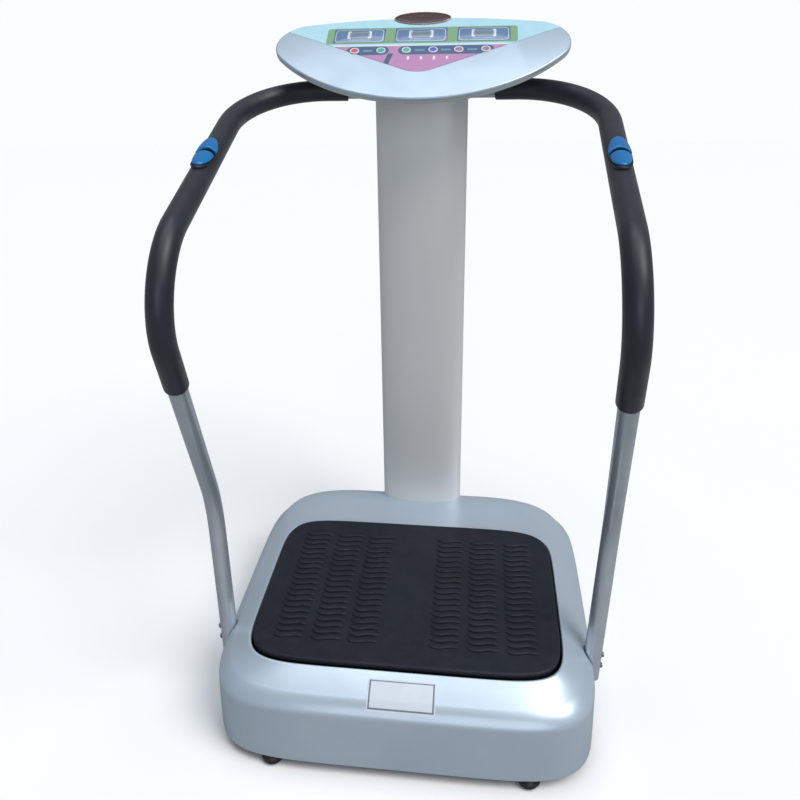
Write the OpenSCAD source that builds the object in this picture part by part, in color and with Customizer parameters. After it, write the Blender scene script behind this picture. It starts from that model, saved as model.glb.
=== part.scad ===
// Vibration plate (gym machine): rocking foot plate in a moulded base, with a column,
// a tilted console and two padded handrails. Millimetres, +Z up, the user stands at -Y.
// The origin is on the floor, under the middle of the whole machine.

/* [Base] */
// Half width of the base cover at its crease
cover_a = 351; // [345:1:356]
// Half depth of the base cover at its crease
cover_b = 316; // [312:1:320]
// Height of the crease between the side wall and the sloping top
crease_z = 141; // [138:1:148]
// Height of the rim round the foot plate
rim_z = 184; // [182:1:188]
// Height of the cover's lower edge above the floor
foot_h = 22; // [20:1:24]
// Wall of the base cover
cover_wall = 3; // [2.5:0.5:4]

/* [Foot plate] */
// Half width of the rubber mat
mat_a = 287; // [280:1:290]
// Half depth of the rubber mat
mat_b = 204; // [198:1:208]
// Where the middle of the mat lies, front to back
mat_y = -50; // [-54:1:-46]
// Height of the top of the mat's ribs
mat_top = 193.5; // [191:0.5:196]
// Ribs in each of the six columns on the mat
rib_count = 20; // [12:1:22]
// Most that the plate rocks to each side, in degrees
rock = 1.5; // [1:0.1:1.5]

/* [Column and console] */
// Half width of the column
column_a = 91; // [88:1:92]
// Front of the column at its middle
column_front_y = 246; // [242:1:250]
// Rear of the column
column_rear_y = 308; // [306:1:309]
// Slope of the console's face, in degrees
tilt = 32; // [28:1:36]
// Length of the console's face down its slope
console_l = 246; // [240:1:252]
// Height of the console's rear edge
console_z = 1257; // [1250:1:1270]
// Place of the console's rear edge, front to back
console_y = 319.5; // [318:0.5:326]

/* [Handrails] */
// Outer radius of the steel handrail tube
rail_r = 16; // [15:0.5:17]
// Outer radius of the foam grip
grip_r = 20; // [19:0.5:21]
// Travel of each thumb button
thumb_travel = 1.2; // [0.8:0.1:1.2]

/* [Drive] */
// Eccentric throw of the crank
throw = 3; // [2:0.1:3]
// Radius of the pulley on the crank
crank_pulley_r = 48; // [44:1:50]
// Radius of the pulley on the motor
motor_pulley_r = 16; // [14:1:18]

/* [Hidden] */
$fn = 48;
eps = 0.02;

// Colours
silver = "#b9bdc1";
pale_silver = "#c9cdd1";
steel = "#8d9196";
dark = "#24272b";
black_rubber = "#16181b";
blue = "#1c8bd0";
board_green = "#2c6b46";
copper = "#b87a4a";

// ---- Base dimensions
cover_y = -7;                    // middle of the cover, front to back
cover_n = 6.2;                   // squareness of the cover's outline
shoulder_z = 162;                // height where the top slope flattens
shoulder_a = cover_a - 20;
shoulder_b = cover_b - 16;
plateau_a = 232;                 // raised rear part that the column stands in
plateau_b = 17;
plateau_y = 264;
plateau_z = 191;
rim_gap = 4;                     // gap between the mat and the cover
mat_n = 7.3;
mat_base_top = mat_top - 1.5;    // top of the mat between its ribs
mat_t = 10;
deck_top = mat_base_top - mat_t;
deck_t = 12;
deck_low = deck_top - deck_t;
frame_low = 28;
frame_top = 48;
side_bar_x = 231;
foot_front_y = -303;
foot_rear_y = 260;
foot_r = 21;
pan_z = 24;
pan_t = 1.5;
wheel_x = 165;
wheel_y = 285;
wheel_z = 28;
wheel_r = 25;
wheel_w = 20;
axle_r = 4;
run_fit = 0.05;                  // radial clearance of a shaft in its bore

// ---- Drive dimensions
pivot_z = 100;
shaft_r = 12;
crank_x = 115;
crank_z = 85;
rod_y = -80;
rod_w = 18;
rod_len = 50;
pin_r = 8;
pin_play = 2 * throw + 0.6;      // open pivot: play of the pin in the rod's upper eye
eye_r = pin_r + pin_play + 6;
eccentric_r = 20;
motor_x = -135;
motor_z = 95;
motor_r = 45;
belt_y = -180;
belt_w = 16;
belt_t = 4;
pulley_gap = 0.3;
bar_low = deck_low - 20;         // underside of the platform's steel bars
lug_y = [-150, 50];              // platform lugs that hold the pivot shaft
pivot_block_y = [-126, 26];
crank_block_y = [-112, -48];
stop_x = 200;

// ---- Column and console dimensions
column_mid_y = 284;              // seam between the front and rear column covers
column_low_z = 140;
post_a = 40;
post_y = 276;
post_b = 16;
tip_r = 62;                      // rounding of the console's side tips
tip_s = 81;                      // how far the tips lie down the slope
front_arc_r = 340;               // radius of the console's curved front edge
front_arc_s = console_l - front_arc_r;
tip_x = sqrt(pow(front_arc_r - tip_r, 2) - pow(tip_s - front_arc_s, 2));
rear_arc_r = (tip_x * tip_x + tip_s * tip_s - tip_r * tip_r) / (2 * (tip_s - tip_r));
bezel_t = 7;
base_rim_t = 5;                  // straight rim of the console's lower shell
base_low = 42;                   // depth of the console under its face
overlay_t = 0.8;
window_x = 118;
window_s = 58;
key_s = 106;
key_x = [-122.5, -72.5, -25, 25, 72.5, 122.5];
key_r = 9;
key_travel = 0.8;

// ---- Handrail dimensions: corner points of the right rail and the bends at its corners
rail_points = [[347.4, -155.4, 104], [369, -102, 410], [320, -366, 942], [340, 241, 1130], [60, 284, 1125.5]];
rail_bends = [183, 124, 177];
rail_wall = 1.8;
grip_low = 0.617;                // where the grip starts between the first two bends
grip_end = 0.7;                  // where the grip ends between the last bend and the column
pod_at = 0.518;                  // where the thumb pod sits between the second and third bends
pod_roll = 2;                    // how far the pod is turned inwards from straight up
pod_a = 17;
pod_b = 54;
pod_n = 2.3;
screw_z = [128, 150];            // the two screws that hold each rail to the frame

// ---- Helpers
function unit(v) = v / norm(v);
function spow(v, e) = sign(v) * pow(abs(v), e);
function oval(a, b, n, count = 72) =
    [for (i = [0 : count - 1]) let (t = 360 * (i + 0.5) / count)
        [a * spow(cos(t), 2 / n), b * spow(sin(t), 2 / n)]];
function arc(c, r, from, to, count) =
    [for (i = [0 : count]) let (t = from + (to - from) * i / count) c + r * [cos(t), sin(t)]];
function axes(x, y, z, o) =
    [[x[0], y[0], z[0], o[0]], [x[1], y[1], z[1], o[1]], [x[2], y[2], z[2], o[2]], [0, 0, 0, 1]];
function along(o, d) =
    let (z = unit(d), x = unit(cross(abs(z[2]) < 0.9 ? [0, 0, 1] : [1, 0, 0], z)))
    axes(x, cross(z, x), z, o);
// Bend at corner b on the way from a to c: [start, end, centre, sweep, axis x, axis y]
function bend(a, b, c, r) =
    let (u = unit(a - b), w = unit(c - b), half = acos(u * w) / 2,
         s = b + u * r / tan(half), m = b + unit(u + w) * r / sin(half))
    [s, b + w * r / tan(half), m, 180 - 2 * half, unit(s - m), -u];
function at(p, q, t) = p + (q - p) * t;

module oval_plate(a, b, n, h, y = 0, z = 0) {
    translate([0, y, z]) linear_extrude(h) polygon(oval(a, b, n));
}
module bar(x0, x1, y0, y1, z0, z1) {
    translate([x0, y0, z0]) cube([x1 - x0, y1 - y0, z1 - z0]);
}
module both_sides() {
    children();
    mirror([1, 0, 0]) children();
}
module along_y(y0, y1, r) {
    translate([0, y1, 0]) rotate([90, 0, 0]) cylinder(h = y1 - y0, r = r);
}
module straight(p, q, r) {
    multmatrix(along(p, q - p)) cylinder(h = norm(q - p), r = r);
}
// Stations [place, direction] along a line through the points, bent at each inner point
function stations(points, bends) = let (last = len(points) - 1) concat(
    [[points[0], unit(points[1] - points[0])]],
    [for (i = [1 : 1 : last - 1])
        let (t = bend(points[i - 1], points[i], points[i + 1], bends[i - 1]), r = norm(t[0] - t[2]),
             steps = ceil(t[3] / 6))
        for (k = [0 : steps]) let (a = t[3] * k / steps)
            [t[2] + (t[4] * cos(a) + t[5] * sin(a)) * r, t[5] * cos(a) - t[4] * sin(a)]],
    [[points[last], unit(points[last] - points[last - 1])]]);
// Sideways direction at each station, carried along without twist
function sideways(path) = let (n = len(path), d = path[0][1]) [
    for (i = 0, x = unit(cross(abs(d[2]) < 0.9 ? [0, 0, 1] : [1, 0, 0], d)); i < n;
         i = i + 1, x = i < n ? unit(x - path[i][1] * (x * path[i][1])) : x) x];
// Round bar along the bent line
module bent_bar(points, bends, r, sides = 20) {
    path = stations(points, bends);
    side = sideways(path);
    count = len(path);
    rings = [for (i = [0 : count - 1]) let (y = cross(path[i][1], side[i])) for (k = [0 : sides - 1])
        path[i][0] + r * (side[i] * cos(360 * k / sides) + y * sin(360 * k / sides))];
    walls = [for (i = [0 : count - 2], k = [0 : sides - 1])
        let (a = i * sides + k, b = i * sides + (k + 1) % sides) [a, a + sides, b + sides, b]];
    polyhedron(rings, concat(walls, [[for (k = [0 : sides - 1]) k]],
        [[for (k = [sides - 1 : -1 : 0]) (count - 1) * sides + k]]));
}
module console_frame() {
    translate([0, console_y, console_z]) rotate([tilt, 0, 0]) children();
}

// ---- Base cover
module cover_form(inset) {
    low = inset > 0 ? foot_h - 4 : foot_h;
    hull() {
        oval_plate(cover_a + 3 - inset, cover_b + 2 - inset, cover_n, 0.5, cover_y, low);
        oval_plate(cover_a - inset, cover_b - inset, cover_n, 0.5, cover_y, crease_z - inset / 2);
        oval_plate(shoulder_a - inset, shoulder_b - inset, cover_n, 0.5, cover_y + 4, shoulder_z - inset);
        oval_plate(mat_a + rim_gap + 3, mat_b + rim_gap + 3, mat_n, 0.5, mat_y, rim_z - 0.5 - inset);
        oval_plate(plateau_a, plateau_b, 3, 0.5, plateau_y, plateau_z - 0.5 - inset);
    }
}
// Pocket that the lower end of a handrail drops into
module rail_pocket(extra) {
    p = rail_points[0];
    d = unit(rail_points[1] - p);
    straight(p - d * (3 + extra), p + d * 130, rail_r + 3 + extra);
}
module column_outline(grow = 0, count = 40) {
    b = column_mid_y - column_front_y;
    polygon(concat(
        [for (i = [0 : count]) let (t = 180 + 180 * i / count)
            [(column_a + grow) * spow(cos(t), 2 / 2.8), column_mid_y + (b + grow) * spow(sin(t), 2 / 2.8)]],
        arc([column_a - 10 + grow, column_rear_y - 10 + grow], 10, 0, 90, 6),
        arc([-column_a + 10 - grow, column_rear_y - 10 + grow], 10, 90, 180, 6)));
}
module base_cover() color(silver) difference() {
    union() {
        difference() {
            cover_form(0);
            cover_form(cover_wall);
        }
        // lip that hangs down round the foot plate
        difference() {
            oval_plate(mat_a + rim_gap + 3, mat_b + rim_gap + 3, mat_n, 24, mat_y, rim_z - 24);
        }
        intersection() {
            cover_form(0);
            both_sides() rail_pocket(cover_wall);
        }
    }
    oval_plate(mat_a + rim_gap, mat_b + rim_gap, mat_n, 60, mat_y, rim_z - 50);
    both_sides() rail_pocket(0);
    translate([0, 0, column_low_z - 1]) linear_extrude(80) column_outline(1);
    bar(-column_a - 1, column_a + 1, 292, 330, column_low_z - 1, 200);
    // the two wheel openings in the rear wall
    both_sides() bar(wheel_x - 14, wheel_x + 14, 260, 330, 0, wheel_z + wheel_r + 5);
    // openings for the inlet and the switch, and the rail screws' holes
    bar(inlet_x - 15, inlet_x + 15, 280, 330, inlet_z - 11, inlet_z + 11);
    bar(switch_x - 11, switch_x + 11, 280, 330, inlet_z - 14, inlet_z + 14);
    both_sides() for (z = screw_z) translate([300, rail_at_z(z)[1], z]) rotate([0, 90, 0]) cylinder(h = 60, r = 7);
}
inlet_x = -120;
switch_x = -70;
inlet_z = 75;
rear_wall_y = cover_y + cover_b + 1.4;
function rail_at_z(z) = let (p = rail_points[0], q = rail_points[1]) at(p, q, (z - p[2]) / (q[2] - p[2]));

module base_pan() color(steel) difference() {
    oval_plate(cover_a - 2, cover_b - 3, cover_n, pan_t, cover_y, pan_z);
    for (x = [-side_bar_x, side_bar_x], y = [foot_front_y, foot_rear_y])
        translate([x, y, pan_z - 1]) cylinder(h = 5, r = 6);
    both_sides() bar(wheel_x - 19.5, wheel_x + 19.5, 250, 330, pan_z - 1, pan_z + 5);
}

// ---- Welded steel frame inside the base
module base_frame() color(steel) difference() {
    union() {
        both_sides() {
            bar(side_bar_x - 15, side_bar_x + 15, -313, 280, frame_low, frame_top);
            bar(side_bar_x, 323, rail_at_z(130)[1] - 20, rail_at_z(130)[1] + 20, frame_low, frame_top);
            bar(318, 323, rail_at_z(130)[1] - 24, rail_at_z(130)[1] + 24, frame_low, 158);
            for (z = screw_z) translate([322, rail_at_z(z)[1], z]) rotate([0, 90, 0])
                cylinder(h = rail_at_z(z)[0] - rail_r - 0.4 - 322, r = 6);
            for (y = lug_y) bar(stop_x - 14, stop_x + 31, y - 15, y + 15, frame_top - 1, stop_low);
            bar(wheel_x - 16, wheel_x - 12.5, 251, wheel_y + 9, 19, frame_top);
            bar(wheel_x + 12.5, wheel_x + 16, 251, wheel_y + 9, 19, frame_top);
        }
        for (y = [-228, crank_block_y[0], crank_block_y[1], 26, 120])
            bar(-side_bar_x, side_bar_x, y - 12, y + 12, frame_low, frame_top);
        bar(-side_bar_x, side_bar_x, 226, 254, frame_low, frame_top);
        bar(-95, 95, 226, 300, frame_low, frame_top);
        for (y = pivot_block_y) bar(-40, 40, y - 12, y + 12, frame_low, pivot_z - 22);
        for (y = crank_block_y) bar(crank_x - 40, crank_x + 40, y - 12, y + 12, frame_low, crank_z - 22);
        bar(motor_x - 62, motor_x + 62, -122, -30, frame_top - 4, frame_top);
    }
    both_sides() for (z = screw_z)
        translate([310, rail_at_z(z)[1], z]) rotate([0, 90, 0]) cylinder(h = 30, r = 3.1);
    for (x = [-side_bar_x, side_bar_x], y = [foot_front_y, foot_rear_y])
        translate([x, y, frame_low - 1]) cylinder(h = 30, r = 5.1);
    both_sides() translate([wheel_x, wheel_y, wheel_z]) rotate([0, 90, 0])
        cylinder(h = 60, r = axle_r + 0.1, center = true);
    for (p = frame_bolt_places) translate([p[0], p[1], p[2] - 21]) cylinder(h = 45, r = 4.1);
}
stop_low = bar_low - 27;
frame_bolt_places = concat(
    [for (x = [-58, 58], y = [256, 292]) [x, y, frame_top + 6]],
    [for (x = [-30, 30], y = pivot_block_y) [x, y, pivot_z - 12]],
    [for (x = [-30, 30], y = crank_block_y) [crank_x + x, y, crank_z - 12]],
    [for (x = [-52, 52], y = [-112, -48]) [motor_x + x, y, frame_top + 5]]);

module rubber_feet() color(black_rubber)
    for (x = [-side_bar_x, side_bar_x], y = [foot_front_y, foot_rear_y]) translate([x, y, 0])
        rotate_extrude() polygon([[0, 0], [14, 0], [18, 2.5], [foot_r, 8], [foot_r, 14], [17.5, 19],
                                  [13, 21.5], [13, pan_z - 0.5], [0, pan_z - 0.5]]);
module foot_studs() color(steel)
    for (x = [-side_bar_x, side_bar_x], y = [foot_front_y, foot_rear_y]) translate([x, y, 0]) {
        translate([0, 0, pan_z - 0.4]) cylinder(h = 34, r = 5);
        translate([0, 0, frame_top + 0.1]) cylinder(h = 7, r = 9, $fn = 6);
    }

module wheel(x) color(dark) translate([x, wheel_y, wheel_z]) rotate([0, 90, 0]) difference() {
    translate([0, 0, -wheel_w / 2]) rotate_extrude() polygon([
        [0, 0], [wheel_r - 3, 0], [wheel_r, 3], [wheel_r, wheel_w - 3], [wheel_r - 3, wheel_w],
        [15, wheel_w], [15, wheel_w - 3], [9, wheel_w - 3], [9, wheel_w], [0, wheel_w]]);
    cylinder(h = 60, r = axle_r + run_fit, center = true);
}
module wheel_axles() color(steel) both_sides() translate([wheel_x, wheel_y, wheel_z]) rotate([0, 90, 0]) {
    cylinder(h = 36, r = axle_r, center = true);
    for (s = [-1, 1]) translate([0, 0, s * 17.3]) cylinder(h = 2, r = 6.5, center = true);
}

// ---- Mains inlet and rocker switch in the rear wall
module power_inlet() color(dark) {
    translate([inlet_x, rear_wall_y, inlet_z]) {
        difference() {
            union() {
                bar(-14, 14, -22, 0.5, -10, 10);
                bar(-25, 25, 0.2, 3.2, -12, 12);
            }
            bar(-12, 12, -13, 5, -8.5, 8.5);
            for (x = [-20, 20]) translate([x, -1, 0]) rotate([-90, 0, 0]) cylinder(h = 6, r = 1.7);
        }
        for (p = [[-7, 0], [7, 0], [0, 3.5]])
            bar(p[0] - 1, p[0] + 1, -21, -1, p[1] - 2, p[1] + 2);
        for (x = [-7, 0, 7]) bar(x - 3, x + 3, -28, -21, -0.4, 0.4);
    }
}
module switch_bezel() color(dark) translate([switch_x, rear_wall_y, inlet_z]) difference() {
    union() {
        bar(-10.5, 10.5, -24, 0.5, -13.5, 13.5);
        bar(-13, 13, 0.2, 2.2, -16, 16);
    }
    bar(-7, 7, -14, 5, -11, 11);
    translate([0, -3, 0]) rotate([0, 90, 0]) cylinder(h = 20, r = 1.5 + run_fit, center = true);
}
module switch_rocker() color("#a3242a") translate([switch_x, rear_wall_y - 3, inlet_z]) {
    rotate([0, 90, 0]) cylinder(h = 18, r = 1.5, center = true);
    rotate([-7, 0, 0]) rotate([90, 0, 90]) translate([0, 0, -6.5]) linear_extrude(13)
        polygon([[-4, -6], [4, -6], [6, -9.5], [4.5, 0], [6, 9.5], [4, 6], [-4, 6]]);
}

// ---- Electronics and leads in the base
board_y = [145, 215];
module control_board() {
    color(board_green) bar(-110, 70, board_y[0], board_y[1], 58, 59.6);
    color(steel) for (x = [-103, 63], y = [board_y[0] + 6, board_y[1] - 6])
        translate([x, y, pan_z + pan_t + 0.1]) cylinder(h = 32.42, r = 3.5);
    color(steel) {
        bar(-95, -40, board_y[1] - 24, board_y[1] - 16, 59.58, 92);
        for (i = [0 : 6]) bar(-94 + i * 8.5, -91 + i * 8.5, board_y[1] - 16.02, board_y[1] - 4, 59.58, 92);
    }
    color(dark) for (x = [-20, 8]) translate([x, board_y[0] + 42, 59.58]) cylinder(h = 34, r = 11);
    color(copper) bar(28, 62, board_y[0] + 28, board_y[0] + 58, 59.58, 86);
    color("white") for (x = [-80, -40, 0, 40]) bar(x - 8, x + 8, board_y[0] + 3, board_y[0] + 13, 59.58, 70);
}
module mains_lead() color(dark) bent_bar(
    [[inlet_x, rear_wall_y - 28.4, inlet_z], [inlet_x, 260, inlet_z], [-128, 260, 104], [-128, 122, 104],
     [-80, 122, 66], [-80, board_y[0] + 2.6, 66]],
    [8, 8, 12, 10], 3, 12);
module motor_lead() color(dark) bent_bar(
    [[motor_x, motor_end_y + 0.4, motor_z], [motor_x, 30, motor_z], [-100, 70, 66], [-40, 120, 66],
     [-40, board_y[0] + 2.6, 66]],
    [16, 16, 8], 3, 12);
motor_end_y = -14;

// ---- Motor, belt and crank
module motor_case() color("#3a3d41") difference() {
    translate([motor_x, 0, motor_z]) {
        along_y(-150, -30, motor_r);
        along_y(-156, -150 + eps, motor_r - 5);
        along_y(-30 - eps, -22, motor_r - 4);
        along_y(-22 - eps, motor_end_y, 16);
        along_y(-161, -156 + eps, 15);
    }
    translate([motor_x, 0, motor_z]) along_y(-170, -60, 8 + run_fit);
}
module motor_mount() color(steel) difference() {
    union() {
        for (y = [-112, -48]) bar(motor_x - 62, motor_x + 62, y - 9, y + 9, frame_top + 0.1, motor_z - 18);
        bar(motor_x - 30, motor_x + 30, -112, -48, frame_top + 0.1, frame_top + 1.6);
    }
    translate([motor_x, 0, motor_z]) along_y(-170, 0, motor_r + 0.2);
    for (x = [-52, 52], y = [-112, -48]) translate([motor_x + x, y, frame_top - 1]) {
        cylinder(h = 40, r = 4.1);
        translate([-9, -10, 6]) cube([18, 20, 60]);
    }
}
module motor_shaft() color(steel) translate([motor_x, 0, motor_z]) along_y(-192, -62, 8);
module pulley(r, bore, y0, y1) difference() {
    union() {
        along_y(y0, y1, r);
        along_y(y0 - 2.5, y0 + eps, r + 2.5);
        along_y(y1 - eps, y1 + 2.5, r + 2.5);
    }
    along_y(y0 - 5, y1 + 5, bore);
}
module motor_pulley() color(steel) translate([motor_x, 0, motor_z])
    pulley(motor_pulley_r, 8, belt_y - 8.5, belt_y + 8.5);
module crank_pulley() color("#55595e") translate([crank_x, 0, crank_z]) difference() {
    pulley(crank_pulley_r, shaft_r, belt_y - 8.5, belt_y + 8.5);
    for (a = [45 : 90 : 315]) rotate([0, a, 0]) translate([31, 0, 0]) along_y(belt_y - 20, belt_y + 20, 8);
}
// Outline of a loop round both pulleys, at a distance outside them
function belt_loop(d, gap, lean) = concat(
    arc([0, 0], motor_pulley_r + d, 90 + lean, 270 - lean, 24),
    arc([gap, 0], crank_pulley_r + d, -90 - lean, 90 + lean, 36));
module drive_belt() color(black_rubber) {
    run = [crank_x - motor_x, 0, crank_z - motor_z];
    gap = norm(run);
    lean = asin((crank_pulley_r - motor_pulley_r) / gap);
    slope = atan2(run[2], run[0]);
    translate([motor_x, belt_y + belt_w / 2, motor_z]) rotate([0, -slope, 0]) rotate([90, 0, 0])
        linear_extrude(belt_w) difference() {
            polygon(belt_loop(pulley_gap + belt_t, gap, lean));
            polygon(belt_loop(pulley_gap, gap, lean));
        }
}
module crank_shaft() color(steel) {
    translate([crank_x, 0, crank_z]) along_y(-194, -30, shaft_r);
    translate([crank_x + throw, 0, crank_z]) along_y(rod_y - 11, rod_y + 11, eccentric_r);
}
// Bearing block for a shaft along Y, with its two fixing ears
module pillow_block(x, y, z) translate([x, y, z]) difference() {
    union() {
        along_y(-8, 8, shaft_r + 9);
        bar(-39, 39, -8, 8, -21.9, -12);
        bar(-21, 21, -8, 8, -21.9, 0);
    }
    along_y(-20, 20, shaft_r + run_fit);
    for (s = [-30, 30]) translate([s, 0, -30]) cylinder(h = 40, r = 4.1);
}
module pillow_blocks() color("#4b6a8a") {
    for (y = pivot_block_y) pillow_block(0, y, pivot_z);
    for (y = crank_block_y) pillow_block(crank_x, y, crank_z);
}
module connecting_rod() color("#6f7479") translate([crank_x + throw, 0, crank_z]) difference() {
    union() {
        along_y(rod_y - rod_w / 2, rod_y + rod_w / 2, eccentric_r + 9);
        translate([0, 0, rod_len]) along_y(rod_y - rod_w / 2, rod_y + rod_w / 2, eye_r);
        bar(-12, 12, rod_y - 7, rod_y + 7, 0, rod_len);
    }
    along_y(rod_y - 20, rod_y + 20, eccentric_r + run_fit);
    translate([0, 0, rod_len]) along_y(rod_y - 20, rod_y + 20, pin_r + pin_play);
}

// ---- Rocking platform
module rod_pin() color(steel) translate([crank_x, 0, crank_z + rod_len]) {
    along_y(rod_y - 29, rod_y + 26, pin_r);
    along_y(rod_y - 31, rod_y - 28, pin_r + 3);
}
module pivot_shaft() color(steel) translate([0, 0, pivot_z]) along_y(lug_y[0] - 14, lug_y[1] + 14, shaft_r);
module platform_frame() color("#5e6368") difference() {
    union() {
        for (x = [-stop_x, 0, stop_x]) bar(x - 14, x + 14, lug_y[0] - 12, lug_y[1] + 12, bar_low, deck_low - 0.1);
        for (y = lug_y) bar(-stop_x - 14, stop_x + 14, y - 12, y + 12, bar_low, deck_low - 0.1);
        for (y = [rod_y - 20, rod_y + 20]) {
            bar(0, stop_x, y - 6, y + 6, bar_low, deck_low - 0.1);
            bar(crank_x - 14, crank_x + 14, y - 6, y + 6, crank_z + rod_len - 14, bar_low + 1);
        }
        for (y = lug_y) bar(-24, 24, y - 12, y + 12, pivot_z - 20, bar_low + 1);
    }
    translate([0, 0, pivot_z]) along_y(-200, 100, shaft_r);
    translate([crank_x, 0, crank_z + rod_len]) along_y(rod_y - 40, rod_y + 40, pin_r);
}
module deck_plate() color("#4a3a2a") oval_plate(mat_a - 4, mat_b - 4, mat_n, deck_t, mat_y, deck_low);
rib_x = [76, 145, 216];
rib_half = 29;
module wavy_rib(x, y) {
    // one shallow wavy ridge across a column
    steps = 6;
    upper = [for (i = [0 : steps]) let (u = -1 + 2 * i / steps)
        [u * rib_half, 2.2 * sin(180 * u) + 4.4 * (1.02 - pow(u, 4))]];
    lower = [for (i = [steps : -1 : 0]) let (u = -1 + 2 * i / steps)
        [u * rib_half, 2.2 * sin(180 * u) - 4.4 * (1.02 - pow(u, 4))]];
    translate([x, y, mat_base_top - 0.5]) linear_extrude(mat_top - mat_base_top + 0.5)
        polygon(concat(upper, lower));
}
module deck_mat() color(black_rubber) {
    oval_plate(mat_a, mat_b, mat_n, mat_t - 0.1, mat_y, deck_top + 0.1);
    rib_low = mat_y - mat_b + 47;
    pitch = 317 / rib_count;
    for (side = [-1, 1], x = rib_x, i = [0 : rib_count - 1])
        wavy_rib(side * x, rib_low + pitch * (i + 0.5));
}
module bump_stops() color(black_rubber) for (x = [-stop_x, stop_x], y = lug_y)
    translate([x, y, stop_low + 0.1]) cylinder(h = bar_low - 7 - stop_low, r = 12);
module frame_bolts() color(steel) for (p = frame_bolt_places) translate(p) {
    translate([0, 0, -20]) cylinder(h = 20.2, r = 4);
    translate([0, 0, 0.1]) cylinder(h = 5.3, r = 6.5, $fn = 6);
}

// ---- Column
module under_console(depth) {
    // everything above a plane that lies this far under the console's face
    console_frame() translate([-400, -500, -depth]) cube([800, 1000, 600]);
}
module column_shell(y0, y1, wall) difference() {
    translate([0, 0, column_low_z]) linear_extrude(console_z) intersection() {
        difference() {
            column_outline();
            offset_column(wall);
        }
        translate([-200, y0]) square([400, y1 - y0]);
    }
    under_console(base_low + 0.4);
}
module offset_column(wall) {
    b = column_mid_y - column_front_y;
    polygon(concat(
        [for (i = [0 : 40]) let (t = 180 + 180 * i / 40)
            [(column_a - wall) * spow(cos(t), 2 / 2.8), column_mid_y + (b - wall) * spow(sin(t), 2 / 2.8)]],
        arc([column_a - 10, column_rear_y - 10], 10 - wall, 0, 90, 6),
        arc([-column_a + 10, column_rear_y - 10], 10 - wall, 90, 180, 6)));
}
rail_end = rail_points[len(rail_points) - 1];
rail_last = rail_points[len(rail_points) - 2];
module column_front() color(pale_silver) difference() {
    column_shell(column_front_y - 10, column_mid_y - 0.1, 2.5);
    both_sides() straight(rail_end, rail_last, rail_r + 1.5);
}
module column_rear() color(silver) difference() {
    column_shell(column_mid_y + 0.1, column_rear_y + 5, 2.5);
    both_sides() straight(rail_end, rail_last, rail_r + 1.5);
}
module column_post() color(steel) difference() {
    union() {
        difference() {
            bar(-post_a, post_a, post_y - post_b, post_y + post_b, frame_top + 0.1, 1200);
            under_console(base_low + 3);
        }
        bar(-72, 72, 246, 300, frame_top + 0.1, frame_top + 6);
        // tilted plate that the console stands on
        console_frame() bar(-60, 60, -101.5, -56, -base_low - 5, -base_low - 0.4);
        // cross bar and sleeves that the two rails plug into
        bar(-64, 64, post_y - 12, post_y + 12, 1110, 1142);
        both_sides() straight(at(rail_end, rail_last, -0.02), at(rail_end, rail_last, 0.072), rail_r + 3);
    }
    difference() {
        bar(-post_a + 3, post_a - 3, post_y - post_b + 3, post_y + post_b - 3, frame_top - 5, 1240);
        console_frame() bar(-60, 60, -101.5, -56, -base_low - 5, -base_low + 60);
    }
    both_sides() straight(rail_end, rail_last, rail_r + 0.1);
    both_sides() straight(at(rail_end, rail_last, -0.3), rail_last, 6);
    console_frame() translate([0, -79, -base_low - 40]) cylinder(h = 60, r = 10);
    for (x = [-48, 48], y = [-96, -62]) console_frame() translate([x, y, -base_low - 20]) cylinder(h = 30, r = 2.6);
    for (x = [-58, 58], y = [256, 292]) translate([x, y, 40]) cylinder(h = 30, r = 4.1);
    translate([0, 0, 110]) rotate([90, 0, 0]) translate([0, 0, -275]) cylinder(h = 40, r = 7);
    both_sides() upper_rail_screw(3.1, 60);
}
// Axis of the screw that holds the top of a rail in its sleeve, from the front
module upper_rail_screw(r, h) {
    p = at(rail_end, rail_last, 0.02);
    translate([p[0], p[1] - 22, p[2]]) rotate([-90, 0, 0]) cylinder(h = h, r = r);
}
module column_cable() color(dark) bent_bar(
    [[40, board_y[0] + 2.6, 66], [40, 118, 66], [0, 118, 110], [0, post_y, 110],
     [0, post_y, 1060], console_point(0, 84, 58), console_point(0, 84, 19.4)],
    [10, 12, 12, 40, 30], 2.6, 12);
function console_point(x, s, depth) =
    [x, console_y - s * cos(tilt) + depth * sin(tilt), console_z - s * sin(tilt) - depth * cos(tilt)];

// ---- Console
console_outline = concat(
    arc([tip_x, -tip_s], tip_r, atan2(-tip_s + front_arc_s, tip_x), atan2(rear_arc_r - tip_s, tip_x), 12),
    arc([0, -rear_arc_r], rear_arc_r, atan2(rear_arc_r - tip_s, tip_x), 180 - atan2(rear_arc_r - tip_s, tip_x), 20),
    arc([-tip_x, -tip_s], tip_r, 180 - atan2(rear_arc_r - tip_s, tip_x), 180 - atan2(-tip_s + front_arc_s, tip_x), 12),
    arc([0, -front_arc_s], front_arc_r, 180 - atan2(-tip_s + front_arc_s, tip_x), 360 + atan2(-tip_s + front_arc_s, tip_x), 40));
console_mid = [0, -console_l * 0.42];
// The outline moved in by a distance measured along the lines to its middle
function shrunk(d) = [for (p = console_outline) p + unit(console_mid - p) * d];
module console_plate(d, z0, z1) {
    translate([0, 0, z0]) linear_extrude(z1 - z0) polygon(shrunk(d));
}
module window_cut(grow, z0, z1) for (x = [-window_x, 0, window_x])
    translate([x, -window_s, z0]) linear_extrude(z1 - z0) polygon(oval(48 + grow, 21 + grow, 8, 40));
module key_holes(r, z0, z1) for (x = key_x) translate([x, -key_s, z0]) cylinder(h = z1 - z0, r = r);

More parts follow.
